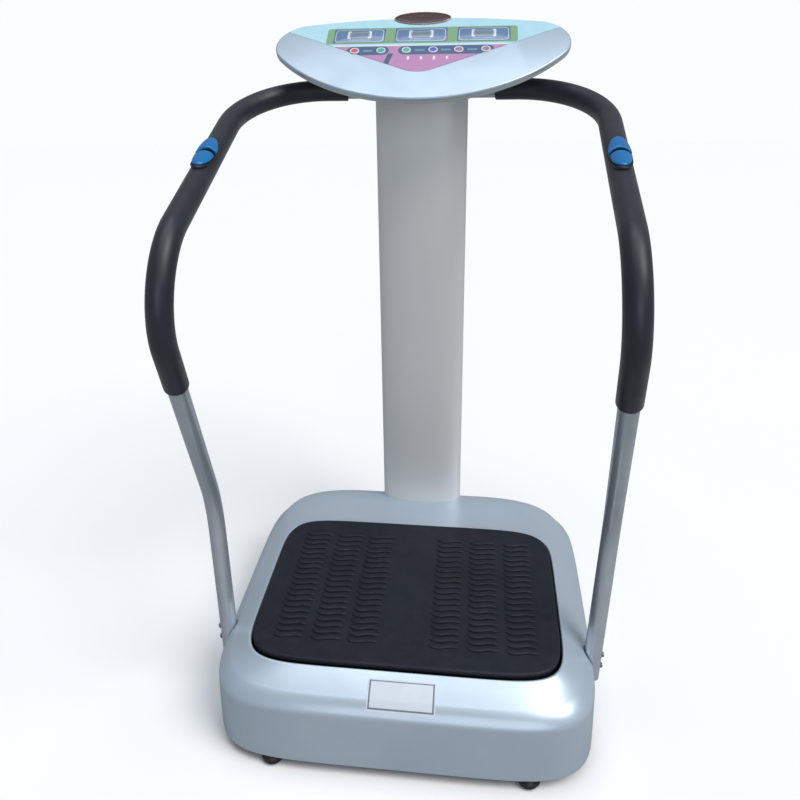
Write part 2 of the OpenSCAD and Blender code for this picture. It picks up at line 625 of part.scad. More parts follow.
module console_base() color(pale_silver) console_frame() difference() {
    union() {
        console_plate(0, -bezel_t - base_rim_t, -bezel_t - 0.1);
        hull() {
            console_plate(1, -bezel_t - base_rim_t - 0.5, -bezel_t - base_rim_t + 0.5);
            console_plate(44, -base_low, -base_low + 0.5);
        }
    }
    difference() {
        union() {
            console_plate(3.5, -bezel_t - base_rim_t, 1);
            hull() {
                console_plate(4.5, -bezel_t - base_rim_t, -bezel_t - base_rim_t + 1);
                console_plate(45, -base_low + 3, -base_low + 4);
            }
        }
        for (x = [-48, 48], y = [-96, -62]) translate([x, y, -base_low]) cylinder(h = 14, r = 6);
    }
    translate([0, -79, -base_low - 5]) cylinder(h = 20, r = 9);
    for (x = [-48, 48], y = [-96, -62]) translate([x, y, -base_low - 1]) cylinder(h = 13, r = 1.9);
}
module console_bezel() color(pale_silver) console_frame() difference() {
    union() {
        console_plate(0, -bezel_t, 0);
        translate([0, -4.5, -2]) linear_extrude(2) polygon(oval(55, 20.5, 2, 56));
    }
    console_plate(3, -bezel_t - 1, -3);
    window_cut(1.4, -5, 5);
    key_holes(key_r + 0.5, -5, 5);
}
// Outline of the printed panel: the console's rear edge with two straight sides to a round apex
panel_apex_r = 58;
panel_apex_s = 170;
panel_corner = [255, -43];
panel_lean = let (dx = panel_corner[0], dy = panel_apex_s - panel_apex_r + panel_corner[1], g = sqrt(dx * dx + dy * dy))
    90 - asin(panel_apex_r / g) + atan2(dy, dx) - 90;
module panel_outline(inset) intersection() {
    polygon(shrunk(3.5 + inset));
    polygon(concat(
        [panel_corner - [inset * 2, 0], [panel_corner[0] - inset * 2, 10], [-panel_corner[0] + inset * 2, 10],
         [-panel_corner[0] + inset * 2, panel_corner[1]]],
        arc([0, -panel_apex_s + panel_apex_r], panel_apex_r - inset, 180 + 58, 360 - 58, 16)));
}
module console_overlay() color("#a8d8ea") console_frame() difference() {
    translate([0, 0, 0.05]) linear_extrude(overlay_t - 0.05) panel_outline(0);
    window_cut(1.4, -5, 5);
    key_holes(key_r + 0.5, -5, 5);
    translate([0, -4.5, -5]) linear_extrude(20) polygon(oval(55.6, 21.1, 2, 56));
}
module display_lenses() color("#5b7591") console_frame() window_cut(1, -2.6, overlay_t);
module display_modules() color("#9aa0a3") console_frame() for (x = [-window_x, 0, window_x])
    translate([x, -window_s, -7.2]) cube([46, 20, 8], center = true);
module console_board() console_frame() {
    color(board_green) bar(-150, 150, -128, -36, -13, -11.4);
    color("white") bar(-7, 7, -90, -78, -19, -12.98);
    color(dark) for (x = key_x) translate([x, -key_s, -11.42]) {
        translate([-4, -4, 0]) cube([8, 8, 3.6]);
        translate([0, 0, 3.5]) cylinder(h = 1.2, r = 2);
    }
}
module key(i, tint) color(tint) console_frame() translate([key_x[i], -key_s, 0]) {
    translate([0, 0, -4.2]) cylinder(h = 4.2 + overlay_t + 1.2, r = key_r);
    translate([0, 0, -4.6]) cylinder(h = 1.2, r = key_r + 2);
}
module console_badge() color("#4a1418") console_frame()
    translate([0, -4.5, 0.05]) linear_extrude(3.6) polygon(oval(55, 20.5, 2, 56));
module console_screws() color(steel) console_frame() for (x = [-48, 48], y = [-96, -62])
    translate([x, y, -base_low - 5.2]) {
        cylinder(h = 16, r = 1.8);
        translate([0, 0, -2.4]) cylinder(h = 2.5, r = 4);
    }

// ---- Handrails, foam grips and thumb switches
module rail_body() difference() {
    bent_bar(rail_points, rail_bends, rail_r);
    bent_bar([at(rail_points[0], rail_points[1], -0.01), rail_points[1], rail_points[2], rail_points[3],
              at(rail_end, rail_last, -0.01)], rail_bends, rail_r - rail_wall);
    for (z = screw_z) translate([rail_at_z(z)[0] - 30, rail_at_z(z)[1], z]) rotate([0, 90, 0]) cylinder(h = 60, r = 3.3);
    upper_rail_screw(3.3, 44);
}
module rail_right() color(silver) rail_body();
module rail_left() color(silver) mirror([1, 0, 0]) rail_body();
grip_points = [at(rail_points[1], rail_points[2], grip_low), rail_points[2], rail_points[3],
               at(rail_last, rail_end, grip_end)];
module grip_body() difference() {
    bent_bar(grip_points, [rail_bends[1], rail_bends[2]], grip_r);
    bent_bar([at(rail_points[1], rail_points[2], grip_low - 0.01), rail_points[2], rail_points[3],
              at(rail_last, rail_end, grip_end + 0.01)], [rail_bends[1], rail_bends[2]], (rail_r + 0.1) / cos(9));
}
module grip_right() color(black_rubber) grip_body();
module grip_left() color(black_rubber) mirror([1, 0, 0]) grip_body();
// Lead from each thumb switch to the console, inside the rail
module grip_leads() color(dark) both_sides() bent_bar(
    [at(rail_points[2], rail_points[3], pod_at), rail_points[3], at(rail_end, rail_last, 0.005) + [0, 0, 9]], [rail_bends[2]], 2.2, 8);

// Frame of the thumb pod: y along the rail, z out of the grip
pod_d = unit(rail_points[3] - rail_points[2]);
pod_up = unit([0, 0, 1] - pod_d * pod_d[2]);
pod_out = cross(pod_d, pod_up);
pod_z = pod_up * cos(pod_roll) - pod_out * sin(pod_roll);
module pod_frame() multmatrix(axes(cross(pod_d, pod_z), pod_d, pod_z, at(rail_points[2], rail_points[3], pod_at)))
    children();
module pod_sleeve(r0, r1) difference() {
    along_y(-pod_b - 10, pod_b + 10, r1);
    along_y(-pod_b - 20, pod_b + 20, r0);
}
module pod_prism(shrink) linear_extrude(60) polygon(oval(pod_a - shrink, pod_b - shrink, pod_n, 48));
module pod_body() pod_frame() difference() {
    intersection() {
        pod_sleeve(grip_r + 0.1, grip_r + 4.4);
        pod_prism(0);
    }
    intersection() {
        pod_sleeve(grip_r + 1.4, grip_r + 9);
        pod_prism(2.2);
    }
}
module thumb_body(up) pod_frame() intersection() {
    pod_sleeve(grip_r + 2.8, grip_r + 7);
    pod_prism(2.6);
    if (up) translate([-40, 0.7, 0]) cube([80, 80, 60]);
    else translate([-40, -80.7, 0]) cube([80, 80, 60]);
}
module pod_right() color(dark) pod_body();
module pod_left() color(dark) mirror([1, 0, 0]) pod_body();
module thumb_right_up() color(blue) thumb_body(true);
module thumb_right_down() color(blue) thumb_body(false);
module thumb_left_up() color(blue) mirror([1, 0, 0]) thumb_body(true);
module thumb_left_down() color(blue) mirror([1, 0, 0]) thumb_body(false);
// Button-head screws: two through the lower end of each rail and one through each sleeve
module rail_screws() color(steel) both_sides() {
    p = at(rail_end, rail_last, 0.02);
    for (z = screw_z) translate([rail_at_z(z)[0], rail_at_z(z)[1], z]) rotate([0, 90, 0]) {
        translate([0, 0, -34]) cylinder(h = 52, r = 3);
        translate([0, 0, rail_r + 0.3]) cylinder(h = 3.4, r1 = 5.5, r2 = 4);
    }
    upper_rail_screw(3, 40);
    translate([p[0], p[1] - 24.2, p[2]]) rotate([-90, 0, 0]) cylinder(h = 2.4, r = 5.5);
}

base_cover();
base_pan();
base_frame();
rubber_feet();
foot_studs();
wheel(-wheel_x);  // wheel_left
wheel(wheel_x);  // wheel_right
wheel_axles();
power_inlet();
switch_bezel();
switch_rocker();
control_board();
mains_lead();
motor_lead();
motor_case();
motor_mount();
motor_shaft();
motor_pulley();
drive_belt();
crank_pulley();
crank_shaft();
pillow_blocks();
connecting_rod();
rod_pin();
pivot_shaft();
platform_frame();
deck_plate();
deck_mat();
bump_stops();
frame_bolts();
rail_screws();
column_post();
column_front();
column_rear();
column_cable();
console_base();
console_bezel();
console_overlay();
display_lenses();
display_modules();
console_board();
console_badge();
console_screws();
key(0, "#d8434a");  // key_power
key(1, "#2f9c86");  // key_start
key(2, "#2f9c86");  // key_mode
key(3, "#4a4fb0");  // key_speed
key(4, "#7a5a8a");  // key_slower
key(5, "#7a5a8a");  // key_faster
rail_left();
rail_right();
grip_left();
grip_right();
grip_leads();
pod_left();
pod_right();
thumb_left_up();
thumb_left_down();
thumb_right_up();
thumb_right_down();
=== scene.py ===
"""Studio picture of a vibration plate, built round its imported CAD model."""
import logging
import math
from collections.abc import Callable, Sequence
from dataclasses import dataclass, field
from enum import Enum

import bmesh
import bpy
from mathutils import Matrix, Vector


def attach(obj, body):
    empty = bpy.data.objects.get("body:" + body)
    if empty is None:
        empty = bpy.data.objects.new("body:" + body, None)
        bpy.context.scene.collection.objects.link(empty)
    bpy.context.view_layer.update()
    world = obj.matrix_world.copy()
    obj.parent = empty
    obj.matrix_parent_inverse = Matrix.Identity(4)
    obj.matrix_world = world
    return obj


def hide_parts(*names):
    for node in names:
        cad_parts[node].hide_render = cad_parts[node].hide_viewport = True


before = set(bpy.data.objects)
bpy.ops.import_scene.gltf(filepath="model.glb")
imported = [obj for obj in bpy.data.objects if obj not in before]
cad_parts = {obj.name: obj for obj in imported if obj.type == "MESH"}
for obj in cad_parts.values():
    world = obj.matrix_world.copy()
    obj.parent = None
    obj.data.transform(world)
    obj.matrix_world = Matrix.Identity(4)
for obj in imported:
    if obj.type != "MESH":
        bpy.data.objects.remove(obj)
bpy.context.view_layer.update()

MM = 0.001
LOG = logging.getLogger("vibration_plate")
Ring = list[Vector]


class Side(Enum):
    """Which side of the user a piece is on."""

    LEFT = -1
    RIGHT = 1


class End(Enum):
    """Which end of a thumb switch a button sits at."""

    UP = 1
    DOWN = -1


# ---------------------------------------------------------------- small helpers


def deselect() -> None:
    """Leave object mode with nothing selected."""
    if bpy.context.object and bpy.context.object.mode != "OBJECT":
        bpy.ops.object.mode_set(mode="OBJECT")
    bpy.ops.object.select_all(action="DESELECT")


def activate(obj: bpy.types.Object) -> None:
    """Make one object the only selected one.

    Args:
        obj: The object.
    """
    deselect()
    obj.select_set(True)
    bpy.context.view_layer.objects.active = obj


def smooth_step(low: float, high: float, value: float) -> float:
    """Ease from 0 at low to 1 at high.

    Args:
        low: Where it starts.
        high: Where it ends.
        value: Where it is read.

    Returns:
        A share from 0 to 1.
    """
    t = min(1.0, max(0.0, (value - low) / (high - low)))
    return t * t * (3 - 2 * t)


def squircle(a: float, b: float, n: float, count: int, y: float = 0.0) -> list[tuple[float, float]]:
    """Outline of a rounded rectangle with bowed sides.

    Args:
        a: Half width, in millimetres.
        b: Half depth.
        n: Squareness; 2 is an ellipse.
        count: Number of points, evenly spread by angle.
        y: Where the middle lies, front to back.

    Returns:
        The outline's points, counter-clockwise.
    """
    points = []
    for i in range(count):
        t = 2 * math.pi * i / count
        c, s = math.cos(t), math.sin(t)
        r = (abs(c / a) ** n + abs(s / b) ** n) ** (-1 / n)
        points.append((r * c, y + r * s))
    return points


def loft(name: str, rings: Sequence[Ring], loop: bool = False,
         caps: tuple[bool, bool] = (True, True)) -> bpy.types.Object:
    """Grow a skin from a circle by extruding it from ring to ring.

    Args:
        name: Name of the new piece.
        rings: Places of the skin's points in millimetres, ring by ring.
        loop: True if the last ring meets the first one, as on a sleeve.
        caps: Whether the first and the last ring are filled.

    Returns:
        The new object, at the origin.
    """
    count = len(rings[0])
    deselect()
    bpy.ops.mesh.primitive_circle_add(vertices=count, radius=0.01, fill_type="NOTHING")
    obj = bpy.context.object
    obj.name = obj.data.name = name
    for vertex, place in zip(obj.data.vertices, rings[0]):
        vertex.co = place * MM
    bpy.ops.object.mode_set(mode="EDIT")
    bpy.ops.mesh.select_mode(type="VERT")
    bpy.ops.mesh.select_all(action="SELECT")
    last = rings[0]
    for ring in list(rings[1:]) + ([rings[0]] if loop else []):
        bpy.ops.mesh.extrude_region_move(TRANSFORM_OT_translate={"value": (0, 0, 0)})
        skin = bmesh.from_edit_mesh(obj.data)
        where = {tuple(round(c * MM, 6) for c in place): i for i, place in enumerate(last)}
        for vertex in [v for v in skin.verts if v.select]:
            key = tuple(round(c, 6) for c in vertex.co)
            if key not in where:
                key = min(where, key=lambda k: (Vector(k) - vertex.co).length_squared)
            vertex.co = ring[where[key]] * MM
        bmesh.update_edit_mesh(obj.data)
        last = ring
    if loop:
        bpy.ops.mesh.select_all(action="SELECT")
        bpy.ops.mesh.remove_doubles(threshold=1e-6)
    else:
        if caps[1]:
            bpy.ops.mesh.edge_face_add()
        if caps[0]:
            bpy.ops.object.mode_set(mode="OBJECT")
            select_vertices(obj, lambda v: v.index < count)
            bpy.ops.mesh.edge_face_add()
    bpy.ops.mesh.select_all(action="SELECT")
    bpy.ops.mesh.normals_make_consistent(inside=False)
    bpy.ops.object.mode_set(mode="OBJECT")
    return obj


def select_vertices(obj: bpy.types.Object, test: Callable[[bpy.types.MeshVertex], bool]) -> None:
    """Enter edit mode with just the vertices that pass a test selected.

    Args:
        obj: The object.
        test: Says whether a vertex is taken.
    """
    activate(obj)
    bpy.ops.object.mode_set(mode="EDIT")
    bpy.ops.mesh.select_mode(type="VERT")
    bpy.ops.mesh.select_all(action="DESELECT")
    bpy.ops.object.mode_set(mode="OBJECT")
    for vertex in obj.data.vertices:
        vertex.select = test(vertex)
    bpy.ops.object.mode_set(mode="EDIT")


def modify(obj: bpy.types.Object, kind: str, **settings: object) -> None:
    """Add a modifier with its settings and apply it.

    Args:
        obj: The object.
        kind: Kind of modifier.
    """
    activate(obj)
    modifier = obj.modifiers.new(kind.lower(), kind)
    for key, value in settings.items():
        setattr(modifier, key, value)
    bpy.ops.object.modifier_apply(modifier=modifier.name)


def combine(obj: bpy.types.Object, tool: bpy.types.Object, operation: str = "DIFFERENCE") -> None:
    """Cut a tool out of an object, or add it, and throw the tool away.

    Args:
        obj: The object that is changed.
        tool: The other one.
        operation: Boolean operation.
    """
    modify(obj, "BOOLEAN", object=tool, operation=operation, solver="EXACT")
    bpy.data.objects.remove(tool)


def drill(start: Vector, end: Vector, radius: float, sides: int = 48) -> bpy.types.Object:
    """A round tool between two points, in millimetres.

    Args:
        start: Middle of one end.
        end: Middle of the other.
        radius: Its radius.
        sides: Flat sides round it.

    Returns:
        The tool.
    """
    way = end - start
    deselect()
    bpy.ops.mesh.primitive_cylinder_add(
        vertices=sides, radius=radius * MM, depth=way.length * MM, location=(start + end) / 2 * MM,
        rotation=way.to_track_quat("Z", "Y").to_euler())
    bpy.ops.object.transform_apply(location=True, rotation=True, scale=True)
    return bpy.context.object


def block(low: Sequence[float], high: Sequence[float], edge: float = 0.0) -> bpy.types.Object:
    """A box between two corners in millimetres, with its upright edges rounded.

    Args:
        low: Lowest corner.
        high: Highest corner.
        edge: Radius of the upright edges.

    Returns:
        The block.
    """
    deselect()
    bpy.ops.mesh.primitive_cube_add(size=1)
    obj = bpy.context.object
    obj.scale = [(h - l) * MM for l, h in zip(low, high)]
    obj.location = [(h + l) / 2 * MM for l, h in zip(low, high)]
    bpy.ops.object.transform_apply(location=True, rotation=True, scale=True)
    if edge:
        modify(obj, "BEVEL", width=edge * MM, segments=6, limit_method="ANGLE", angle_limit=math.radians(40))
    return obj


def join(pieces: Sequence[bpy.types.Object], name: str) -> bpy.types.Object:
    """Join pieces into the first one.

    Args:
        pieces: Pieces to join.
        name: Name of the whole.

    Returns:
        The joined piece.
    """
    activate(pieces[0])
    for piece in pieces:
        piece.select_set(True)
    bpy.ops.object.join()
    obj = bpy.context.object
    obj.name = obj.data.name = name
    return obj


def dress(obj: bpy.types.Object, body: str, slot: str, finish: "Finish | bpy.types.Material", *nodes: str,
          angle: float = 35) -> bpy.types.Object:
    """Shade a finished piece, give it its material and fix it to its body.

    Args:
        obj: The finished piece.
        body: Body it rides on.
        slot: Material slot of the record that it stands for; not used.
        finish: What it is made of.
        nodes: CAD nodes that it replaces.
        angle: Edges sharper than this stay sharp, in degrees.

    Returns:
        The piece.
    """
    activate(obj)
    bpy.ops.object.shade_smooth_by_angle(angle=math.radians(angle))
    deselect()
    if not obj.data.materials:
        obj.data.materials.append(finish.material() if isinstance(finish, Finish) else finish)
    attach(obj, body)
    if nodes:
        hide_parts(*nodes)
    LOG.info("%s: %d faces on %s", obj.name, len(obj.data.polygons), body)
    return obj


# ---------------------------------------------------------------- finishes


def paint(red: int, green: int, blue: int) -> tuple[float, float, float]:
    """Turn a screen colour into the linear one a shader takes.

    Args:
        red: Red, 0 to 255.
        green: Green.
        blue: Blue.

    Returns:
        Linear red, green and blue.
    """
    def linear(value: int) -> float:
        """One channel of it."""
        v = value / 255
        return v / 12.92 if v <= 0.04045 else ((v + 0.055) / 1.055) ** 2.4
    return (linear(red), linear(green), linear(blue))


class Weaver:
    """Adds and links the nodes of one node tree."""

    def __init__(self, tree: bpy.types.NodeTree) -> None:
        """Keep the tree that the nodes go into.

        Args:
            tree: The node tree.
        """
        self.tree = tree

    def add(self, kind: str, *inputs: object, **settings: object) -> bpy.types.Node:
        """Add a node and feed its inputs in order.

        Args:
            kind: The node's type.
            inputs: For each input a value, a socket to link, or None to leave it.
            settings: Properties of the node.

        Returns:
            The new node.
        """
        node = self.tree.nodes.new(kind)
        for key, value in settings.items():
            setattr(node, key, value)
        for socket, value in zip(node.inputs, inputs):
            self.feed(socket, value)
        return node

    def feed(self, socket: bpy.types.NodeSocket, value: object) -> None:
        """Link a socket to an input, or set the input's own value.

        Args:
            socket: The input.
            value: A socket to link, or a plain value.
        """
        if isinstance(value, bpy.types.NodeSocket):
            self.tree.links.new(value, socket)
        elif value is not None:
            socket.default_value = value

    def sum_up(self, operation: str, *inputs: object) -> bpy.types.NodeSocket:
        """The result of a math node.

        Args:
            operation: Name of the operation.

        Returns:
            The result.
        """
        return self.add("ShaderNodeMath", *inputs, operation=operation).outputs[0]

    def blend(self, factor: object, first: object, second: object) -> bpy.types.NodeSocket:
        """Mix two colours.

        Args:
            factor: How much of the second.
            first: First colour.
            second: Second colour.

        Returns:
            The mixed colour.
        """
        node = self.add("ShaderNodeMix", data_type="RGBA")
        for socket, value in ((node.inputs[0], factor), (node.inputs[6], first), (node.inputs[7], second)):
            self.feed(socket, (*value, 1) if isinstance(value, tuple) and len(value) == 3 else value)
        return node.outputs[2]


class Effects:
    """Shader groups that several finishes share.

    Attributes:
        made: Groups made so far, by name.
    """

    made: dict[str, bpy.types.NodeTree] = {}

    @classmethod
    def start(cls, name: str, takes: Sequence[tuple[str, str, float | None]],
              gives: Sequence[str]) -> tuple[bpy.types.NodeTree, Weaver, bpy.types.Node, bpy.types.Node]:
        """Open a new group.

        Args:
            name: The group's name.
            takes: Name, socket type and default of each input.
            gives: Names of the outputs, all plain values.

        Returns:
            The group, a weaver for it, and its input and output nodes.
        """
        tree = bpy.data.node_groups.new(name, "ShaderNodeTree")
        for label, kind, default in takes:
            socket = tree.interface.new_socket(label, in_out="INPUT", socket_type=kind)
            if default is not None:
                socket.default_value = default
        for label in gives:
            tree.interface.new_socket(label, in_out="OUTPUT", socket_type="NodeSocketFloat")
        weaver = Weaver(tree)
        return tree, weaver, weaver.add("NodeGroupInput"), weaver.add("NodeGroupOutput")

    @classmethod
    def grain(cls) -> bpy.types.NodeTree:
        """Fine relief and slow drift of tone, as on moulded or painted skins."""
        if "grain" not in cls.made:
            tree, w, source, sink = cls.start("surface_grain", [
                ("Vector", "NodeSocketVector", None), ("Fine Scale", "NodeSocketFloat", 900.0),
                ("Broad Scale", "NodeSocketFloat", 9.0)], ["Height", "Tone"])
            fine = w.add("ShaderNodeTexNoise", source.outputs[0], None, source.outputs[1], 3.0, 0.55)
            cells = w.add("ShaderNodeTexVoronoi", source.outputs[0], None, source.outputs[1])
            broad = w.add("ShaderNodeTexNoise", source.outputs[0], None, source.outputs[2], 4.0, 0.6)
            height = w.sum_up("ADD", w.sum_up("MULTIPLY", fine.outputs[0], 0.6),
                              w.sum_up("MULTIPLY", cells.outputs[0], 0.4))
            tone = w.add("ShaderNodeMapRange", broad.outputs[0], 0.35, 0.65, 0.0, 1.0)
            w.feed(sink.inputs[0], height)
            w.feed(sink.inputs[1], tone.outputs[0])
            cls.made["grain"] = tree
        return cls.made["grain"]

    @classmethod
    def dust(cls) -> bpy.types.NodeTree:
        """Thin dust that settles on what faces up."""
        if "dust" not in cls.made:
            tree, w, source, sink = cls.start("settled_dust", [
                ("Vector", "NodeSocketVector", None), ("Amount", "NodeSocketFloat", 0.1)], ["Mask"])
            facing = w.add("ShaderNodeSeparateXYZ", w.add("ShaderNodeNewGeometry").outputs["Normal"])
            up = w.add("ShaderNodeMapRange", facing.outputs[2], 0.3, 1.0, 0.0, 1.0)
            specks = w.add("ShaderNodeTexNoise", source.outputs[0], None, 34.0, 8.0, 0.72)
            patch = w.add("ShaderNodeMapRange", specks.outputs[0], 0.42, 0.72, 0.0, 1.0)
            w.feed(sink.inputs[0], w.sum_up("MULTIPLY", w.sum_up("MULTIPLY", up.outputs[0], patch.outputs[0]),
                                            source.outputs[1]))
            cls.made["dust"] = tree
        return cls.made["dust"]

    @classmethod
    def patch(cls) -> bpy.types.NodeTree:
        """One printed rectangle with rounded corners: 1 inside it, 0 outside."""
        if "patch" not in cls.made:
            tree, w, source, sink = cls.start("printed_patch", [
                ("X", "NodeSocketFloat", 0.0), ("Y", "NodeSocketFloat", 0.0), ("Middle X", "NodeSocketFloat", 0.0),
                ("Middle Y", "NodeSocketFloat", 0.0), ("Half X", "NodeSocketFloat", 10.0),
                ("Half Y", "NodeSocketFloat", 5.0), ("Corner", "NodeSocketFloat", 1.0)], ["Mask"])
            out = source.outputs
            reach = []
            for place, middle, half in ((out[0], out[2], out[4]), (out[1], out[3], out[5])):
                away = w.sum_up("ABSOLUTE", w.sum_up("SUBTRACT", place, middle))
                reach.append(w.sum_up("MAXIMUM", w.sum_up("ADD", w.sum_up("SUBTRACT", away, half), out[6]), 0.0))
            length = w.sum_up("SQRT", w.sum_up("ADD", w.sum_up("MULTIPLY", reach[0], reach[0]),
                                               w.sum_up("MULTIPLY", reach[1], reach[1])))
            w.feed(sink.inputs[0], w.add("ShaderNodeMapRange", w.sum_up("SUBTRACT", length, out[6]), -0.12, 0.12, 1.0,
                                         0.0).outputs[0])
            cls.made["patch"] = tree
        return cls.made["patch"]


@dataclass(frozen=True)
class Finish:
    """One material: its colours, gloss and relief.

    Attributes:
        name: What it is called.
        colour: Main colour, linear.
        drift: Second colour that the first drifts towards.
        metallic: 1 for bare metal.
        roughness: Middle roughness.
        spread: How far the roughness drifts.
        fine: Scale of the relief, per metre.
        depth: Strength of the relief.
        broad: Scale of the drift in tone.
        coat: Weight of a clear coat.
        dust: How much dust shows.
        stretch: Stretch of the grain along each axis, as on brushed or drawn metal.
        sheen: Weight of the soft sheen.
        specular: Level of the plain reflection.
    """

    name: str
    colour: tuple[float, float, float]
    drift: tuple[float, float, float]
    metallic: float = 0.0
    roughness: float = 0.5
    spread: float = 0.08
    fine: float = 900.0
    depth: float = 0.08
    broad: float = 9.0
    coat: float = 0.0
    dust: float = 0.0
    stretch: tuple[float, float, float] = (1.0, 1.0, 1.0)
    sheen: float = 0.0
    specular: float = 0.5

    def material(self) -> bpy.types.Material:
        """Build the material once, and hand the same one out after that."""
        label = f"finish_{self.name}"
        found = bpy.data.materials.get(label)
        if found:
            return found
        made = bpy.data.materials.new(label)
        made.use_nodes = True
        made.diffuse_color = (*self.colour, 1)
        w = Weaver(made.node_tree)
        shader = made.node_tree.nodes["Principled BSDF"]
        place = w.add("ShaderNodeMapping", w.add("ShaderNodeTexCoord").outputs["Object"], None, None, self.stretch)
        grain = w.add("ShaderNodeGroup", node_tree=Effects.grain())
        w.feed(grain.inputs[0], place.outputs[0])
        grain.inputs[1].default_value, grain.inputs[2].default_value = self.fine, self.broad
        colour = w.blend(grain.outputs[1], self.colour, self.drift)
        if self.dust:
            dust = w.add("ShaderNodeGroup", node_tree=Effects.dust())
            w.feed(dust.inputs[0], place.outputs[0])
            dust.inputs[1].default_value = self.dust
            colour = w.blend(dust.outputs[0], colour, paint(168, 166, 160))
        w.feed(shader.inputs["Base Color"], colour)
        low, high = self.roughness - self.spread, self.roughness + self.spread
        w.feed(shader.inputs["Roughness"], w.add("ShaderNodeMapRange", grain.outputs[1], 0.0, 1.0, low,
                                                 high).outputs[0])
        bump = w.add("ShaderNodeBump", self.depth, 0.0004)
        w.feed(bump.inputs["Height"], grain.outputs[0])
        w.feed(shader.inputs["Normal"], bump.outputs[0])
        shader.inputs["Metallic"].default_value = self.metallic
        shader.inputs["Coat Weight"].default_value = self.coat
        shader.inputs["Coat Roughness"].default_value = 0.12
        shader.inputs["Sheen Weight"].default_value = self.sheen
        shader.inputs["Sheen Roughness"].default_value = 0.4
        shader.inputs["Specular IOR Level"].default_value = self.specular
        return made


SHELL = Finish("silver_blue_shell", paint(194, 208, 221), paint(186, 201, 215), 0.45, 0.33, 0.05, 1500, 0.05, 5, 0.2,
               0.03)
CONSOLE_TOP = Finish("console_silver", paint(188, 205, 220), paint(181, 199, 215), 0.4, 0.33, 0.05, 1500, 0.04, 8, 0.2,
                     0.02)
# Greyer copy of the console's silver for the lower shell; its greyness is partly painted shade for the down-facing
# side.
CONSOLE_UNDER_SHADED = Finish("console_grey", paint(196, 198, 196), paint(186, 189, 188), 0.1, 0.45, 0.06, 1300, 0.08, 8)
COLUMN = Finish("column_silver_paint", paint(229, 230, 230), paint(220, 221, 222), 0.15, 0.36, 0.05, 1600, 0.05, 4,
                0.15, 0.0, (1, 1, 0.25))
RAIL = Finish("rail_silver_paint", paint(188, 193, 201), paint(176, 182, 190), 0.55, 0.33, 0.05, 1500, 0.04, 12, 0.2)
FOAM = Finish("grip_foam", paint(34, 38, 48), paint(27, 31, 40), 0.0, 0.42, 0.05, 1100, 0.2, 22, 0.0, 0.02, sheen=0.12,
              specular=0.5)
MAT = Finish("mat_rubber", paint(25, 30, 40), paint(20, 25, 34), 0.0, 0.52, 0.05, 1200, 0.14, 7, 0.0, 0.02,
             specular=0.3)
# Near-black sheet laid round each rib's foot: painted shade for the shadowed grooves between the ribs.
MAT_GROOVE_SHADE = Finish("mat_groove_painted_shade", paint(9, 11, 16), paint(7, 9, 13), 0.0, 0.7, 0.05, 1200, 0.1, 11, specular=0.15)
RUBBER = Finish("black_rubber", paint(24, 25, 28), paint(17, 18, 21), 0.0, 0.42, 0.07, 800, 0.15, 16)
BLACK_PLASTIC = Finish("black_plastic", paint(30, 31, 34), paint(23, 24, 27), 0.0, 0.4, 0.06, 1400, 0.14, 14)
THUMB_BLUE = Finish("thumb_blue", paint(6, 112, 178), paint(5, 104, 168), 0.0, 0.24, 0.04, 700, 0.02, 30, 0.25)
STEEL = Finish("grey_primer_steel", paint(112, 116, 121), paint(98, 102, 108), 0.3, 0.5, 0.08, 700, 0.12, 12, 0.0, 0.15)
ZINC = Finish("zinc_plate", paint(176, 180, 184), paint(156, 160, 166), 1.0, 0.3, 0.08, 900, 0.08, 40, 0.0, 0.0,
              (1, 1, 4))
MACHINED = Finish("machined_aluminium", paint(186, 188, 192), paint(168, 171, 176), 1.0, 0.34, 0.06, 1200, 0.1, 30,
                  0.0, 0.0, (6, 1, 6))
CAST = Finish("cast_iron", paint(92, 99, 108), paint(76, 83, 92), 0.4, 0.6, 0.08, 420, 0.35, 18, 0.0, 0.12)
MOTOR = Finish("motor_enamel", paint(56, 60, 66), paint(46, 50, 56), 0.2, 0.42, 0.06, 900, 0.1, 12, 0.2, 0.12)
# Black board whose darkness also stands in for the shade in the gap under the mat's edge: partly painted shade.
DECK_AND_GAP_SHADE = Finish("deck_black_board_gap_shade", paint(24, 24, 25), paint(18, 18, 19), 0.0, 0.62, 0.08, 260, 0.2, 6, 0.0, 0.0,
              (0.15, 1, 6))
SOLDER_MASK = Finish("circuit_green", paint(30, 104, 66), paint(24, 88, 56), 0.0, 0.35, 0.05, 500, 0.12, 60, 0.4)
SHEATH = Finish("cable_sheath", paint(28, 29, 31), paint(21, 22, 24), 0.0, 0.45, 0.06, 700, 0.1, 30)
ROCKER_RED = Finish("rocker_red", paint(176, 36, 38), paint(160, 30, 33), 0.0, 0.28, 0.05, 900, 0.05, 40, 0.4)
LCD_GREY = Finish("display_grey", paint(150, 158, 158), paint(138, 148, 148), 0.0, 0.3, 0.04, 900, 0.03, 40)
LABEL = Finish("blank_label", paint(206, 214, 224), paint(200, 208, 218), 0.0, 0.32, 0.04, 600, 0.03, 30, 0.2)
LABEL_LINE = Finish("label_border", paint(112, 120, 134), paint(104, 112, 126), 0.0, 0.4, 0.04, 600, 0.03, 30)
KEY_RING = Finish("key_ring", paint(214, 218, 222), paint(204, 210, 216), 0.0, 0.3, 0.05, 900, 0.03, 30, 0.3)
BADGE = Finish("badge_maroon", paint(58, 12, 20), paint(49, 9, 16), 0.0, 0.35, 0.04, 700, 0.04, 25, 0.2)
BADGE_RIM = Finish("badge_rim", paint(170, 160, 158), paint(156, 147, 146), 0.8, 0.28, 0.05, 900, 0.03, 30)
